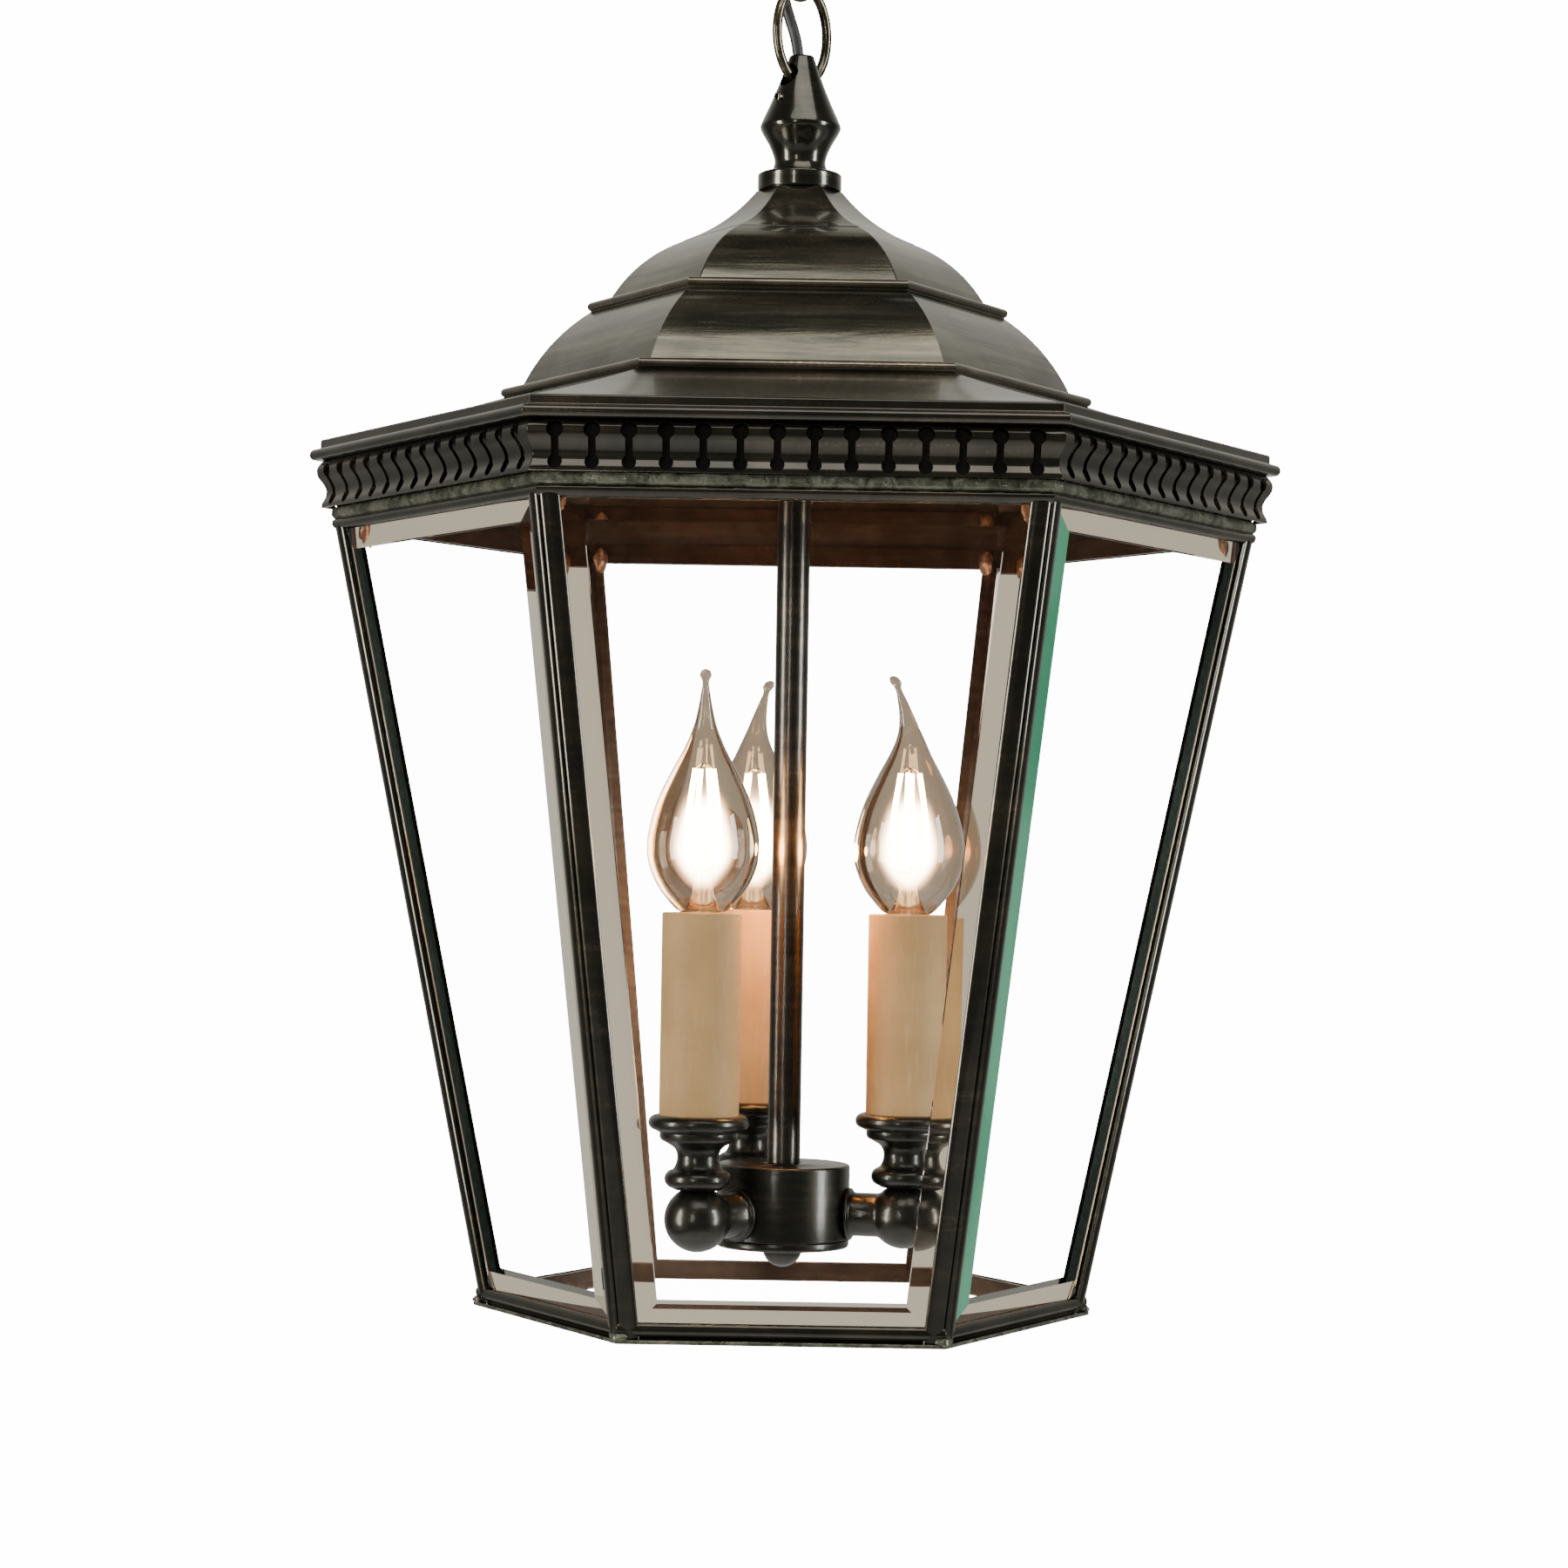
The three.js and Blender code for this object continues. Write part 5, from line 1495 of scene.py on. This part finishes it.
def share_out(
    piece, name, node, slot, finish, body="lantern", smooth=35, tips=False, reach=ARM_REACH
):
    """Copies a piece to the three stands, each out along its own arm, and removes the first one.
    With tips, each copy is also turned on its own axis."""
    for number in range(3):
        out = plan_turn(FIRST_CANDLE + 120 * number) @ Matrix.Translation((reach * MM, 0, 0))
        placing = out @ plan_turn(TIP_TURNS[number] if tips else 0)
        copy = own_copy(piece, f"{name}_{number + 1}", placing)
        rides = body if body == "lantern" else f"{body}_{number + 1}"
        nodes = [f"{node}_{number + 1}"] if node else []
        settle(copy, rides, nodes, slot, finish, smooth=smooth)
    bpy.data.objects.remove(piece)


arm_start = HUB_RADIUS - 0.1
arm = turned(
    "arm",
    [
        (0, arm_start), (7.6, arm_start), *bead((7.55, arm_start + 0.7), 0.55, -40, 90, 4),
        (6.95, arm_start + 1.7), (6.7, arm_start + 2.4), (6.7, ARM_REACH - 8.4),
        (6.8, ARM_REACH - 7.7), *bead((0, ARM_REACH), ELBOW_RADIUS, -44, 88, 22),
        (0, ARM_REACH + ELBOW_RADIUS),
    ],
    40, foot=0,
)
arm.data.transform(Matrix.Translation((0, 0, up(ELBOW_HEIGHT))) @ plan_turn(90, "Y"))
share_out(arm, "ball_elbow", "arm", "brown_bronze", brown_bronze, smooth=50, reach=0)

cup = turned(
    "cup",
    [
        (0, ELBOW_HEIGHT + ELBOW_RADIUS - 0.1),
        *above(
            CUP_FOOT, (3.4, -0.3), (7.2, 0), *bead((7.4, 3.2), 2.75, -80, 80, 12),
            *flowing(
                [(7.2, 6.6), (6.5, 8.4), (6.4, 10.6), (7.4, 12.6), (9.6, 14.0), (11.3, 14.9)], 3
            ),
            (11.8, 15.8), (11.8, 17.2), *bead((13.0, 20.2), 2.25, -80, 80, 12),
        ),
        (12.4, CUP_TOP - 0.5), (12.4, TUBE_FOOT - 0.3), (0, TUBE_FOOT - 0.3),
    ],
    48,
)
share_out(cup, "candle_cup", "cup", "brown_bronze", brown_bronze, smooth=40)

sleeve = turned(
    "sleeve",
    [
        (TUBE_RADIUS - 1.2, TUBE_FOOT), (TUBE_RADIUS - 0.2, TUBE_FOOT),
        (TUBE_RADIUS, TUBE_FOOT + 0.2), (TUBE_RADIUS, TUBE_TOP - 0.4),
        *bead((TUBE_RADIUS - 0.4, TUBE_TOP - 0.4), 0.4, 15, 90, 4),
        *bead((TUBE_RADIUS - 0.8, TUBE_TOP - 0.4), 0.4, 90, 165, 4),
        (TUBE_RADIUS - 1.2, TUBE_TOP - 0.4),
    ],
    56, closed=True,
)
share_out(sleeve, "candle_sleeve", "candle_tube", "candle_card", candle_card, smooth=35)

# %% [markdown]
# The lamp is a flame-shaped bulb of very thin glass with a drawn-out tip that leans over, as if
# blown by a draught. The outline is turned first, and the tip's points are then pushed sideways,
# more and more with height. Inside are a glass stem and four bright filaments, each with a fine
# wire at either end.

# %% Lamps
TIP_BEND = 6.0  # how far the tip leans
BEND_FROM = 176  # the height where it starts to


def lean(piece):
    """Pushes all above a height sideways, as the drawn-out tip of the flame."""
    for vertex in piece.data.vertices:
        height = (vertex.co.z - FOOT) / MM
        share = max(height - BEND_FROM, 0) / (BULB_TIP - BEND_FROM)
        vertex.co.x += TIP_BEND * MM * share**1.6


flame = [
    (7.4, 0.6), (9.2, 2.2), (13.5, 7.6), (16.3, 14.0), (17.1, 19.6), (16.4, 26.0), (14.1, 34.0),
    (10.4, 42.0), (6.4, 49.5), (3.7, 56.0), (2.4, 61.0), (1.5, 66.0), (1.0, 69.6), (1.8, 71.6),
    (1.3, 73.2),
]
bulb = turned("bulb", above(BULB_FOOT, (0, 0.2), (6.6, 0.2), *flowing(flame, 4), (0, 73.7)), 48)
lean(bulb)
share_out(bulb, "flame_bulb", "bulb", "bulb_glass", bulb_glass, body="lamp", smooth=40, tips=True)

glass_foot = [
    (0, 0.8), (5.6, 0.8), (4.4, 3.0), (3.0, 6.4), (2.3, 11.0), (2.1, 16.0), (2.4, 17.6),
    (1.8, 19.0), (0, 19.4),
]
stem = turned("stem", above(BULB_FOOT, *glass_foot), 24)
share_out(stem, "glass_stem", "", "bulb_glass", stem_glass, body="lamp", smooth=40)

FILAMENT_LOW, FILAMENT_HIGH = BULB_FOOT + 16.0, BULB_FOOT + 43.0
WAIST = FILAMENT_LOW + (FILAMENT_HIGH - FILAMENT_LOW) * 0.4  # where a strand bows out most
strands = []
wires = []


def strand(places, turn, steps, radius):
    """A thin tube through (radius, height) places, all at one plan angle."""
    angle = math.radians(turn)
    line = [(r * math.cos(angle), r * math.sin(angle), z) for r, z in places]
    return tube("strand", smooth_line(line, steps), radius, 8)


for turn in (20, 110, 200, 290):
    places = [(4.2, FILAMENT_LOW), (4.7, WAIST), (2.6, FILAMENT_HIGH)]
    strands.append(strand(places, turn, 4, 0.8))
    for places in (
        [(1.2, BULB_FOOT + 13), (3.2, BULB_FOOT + 14.4), (4.2, FILAMENT_LOW)],
        [(2.6, FILAMENT_HIGH), (1.0, FILAMENT_HIGH + 1.6), (0.2, FILAMENT_HIGH + 0.8)],
    ):
        wires.append(strand(places, turn, 3, 0.25))
for group, name, finish in ((strands, "filaments", filament_glow), (wires, "lead_wires", zinc)):
    select_only(*group)
    bpy.ops.object.join()
    share_out(bpy.context.object, name, "", "bulb_glass", finish, body="lamp", smooth=50)

# %% [markdown]
# The plain pieces that are hidden, or whose shape is right already, stay as they are and only get
# a finish: the lampholders and lamp caps, and the fittings under the roof and in the rose.

# %% Plain pieces


def dress(piece, finish):
    """Gives a piece one finish, in place of any that it had."""
    piece.data.materials.clear()
    piece.data.materials.append(finish)


for finish, nodes in (
    (white_ceramic, ("terminal_block", "lampholder_1", "lampholder_2", "lampholder_3")),
    (cap_brass, ("bulb_cap_1", "bulb_cap_2", "bulb_cap_3")),
    (zinc, ("ceiling_plate", "roof_washer", "roof_locknut", "tie_stud")),
    (flex_skin, ("inner_flex",)),
):
    for node in nodes:
        dress(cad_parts[node], finish)
    print(finish.name, "on", ", ".join(nodes))
for piece in (flex_lower, flex_upper):
    dress(piece, flex_skin)
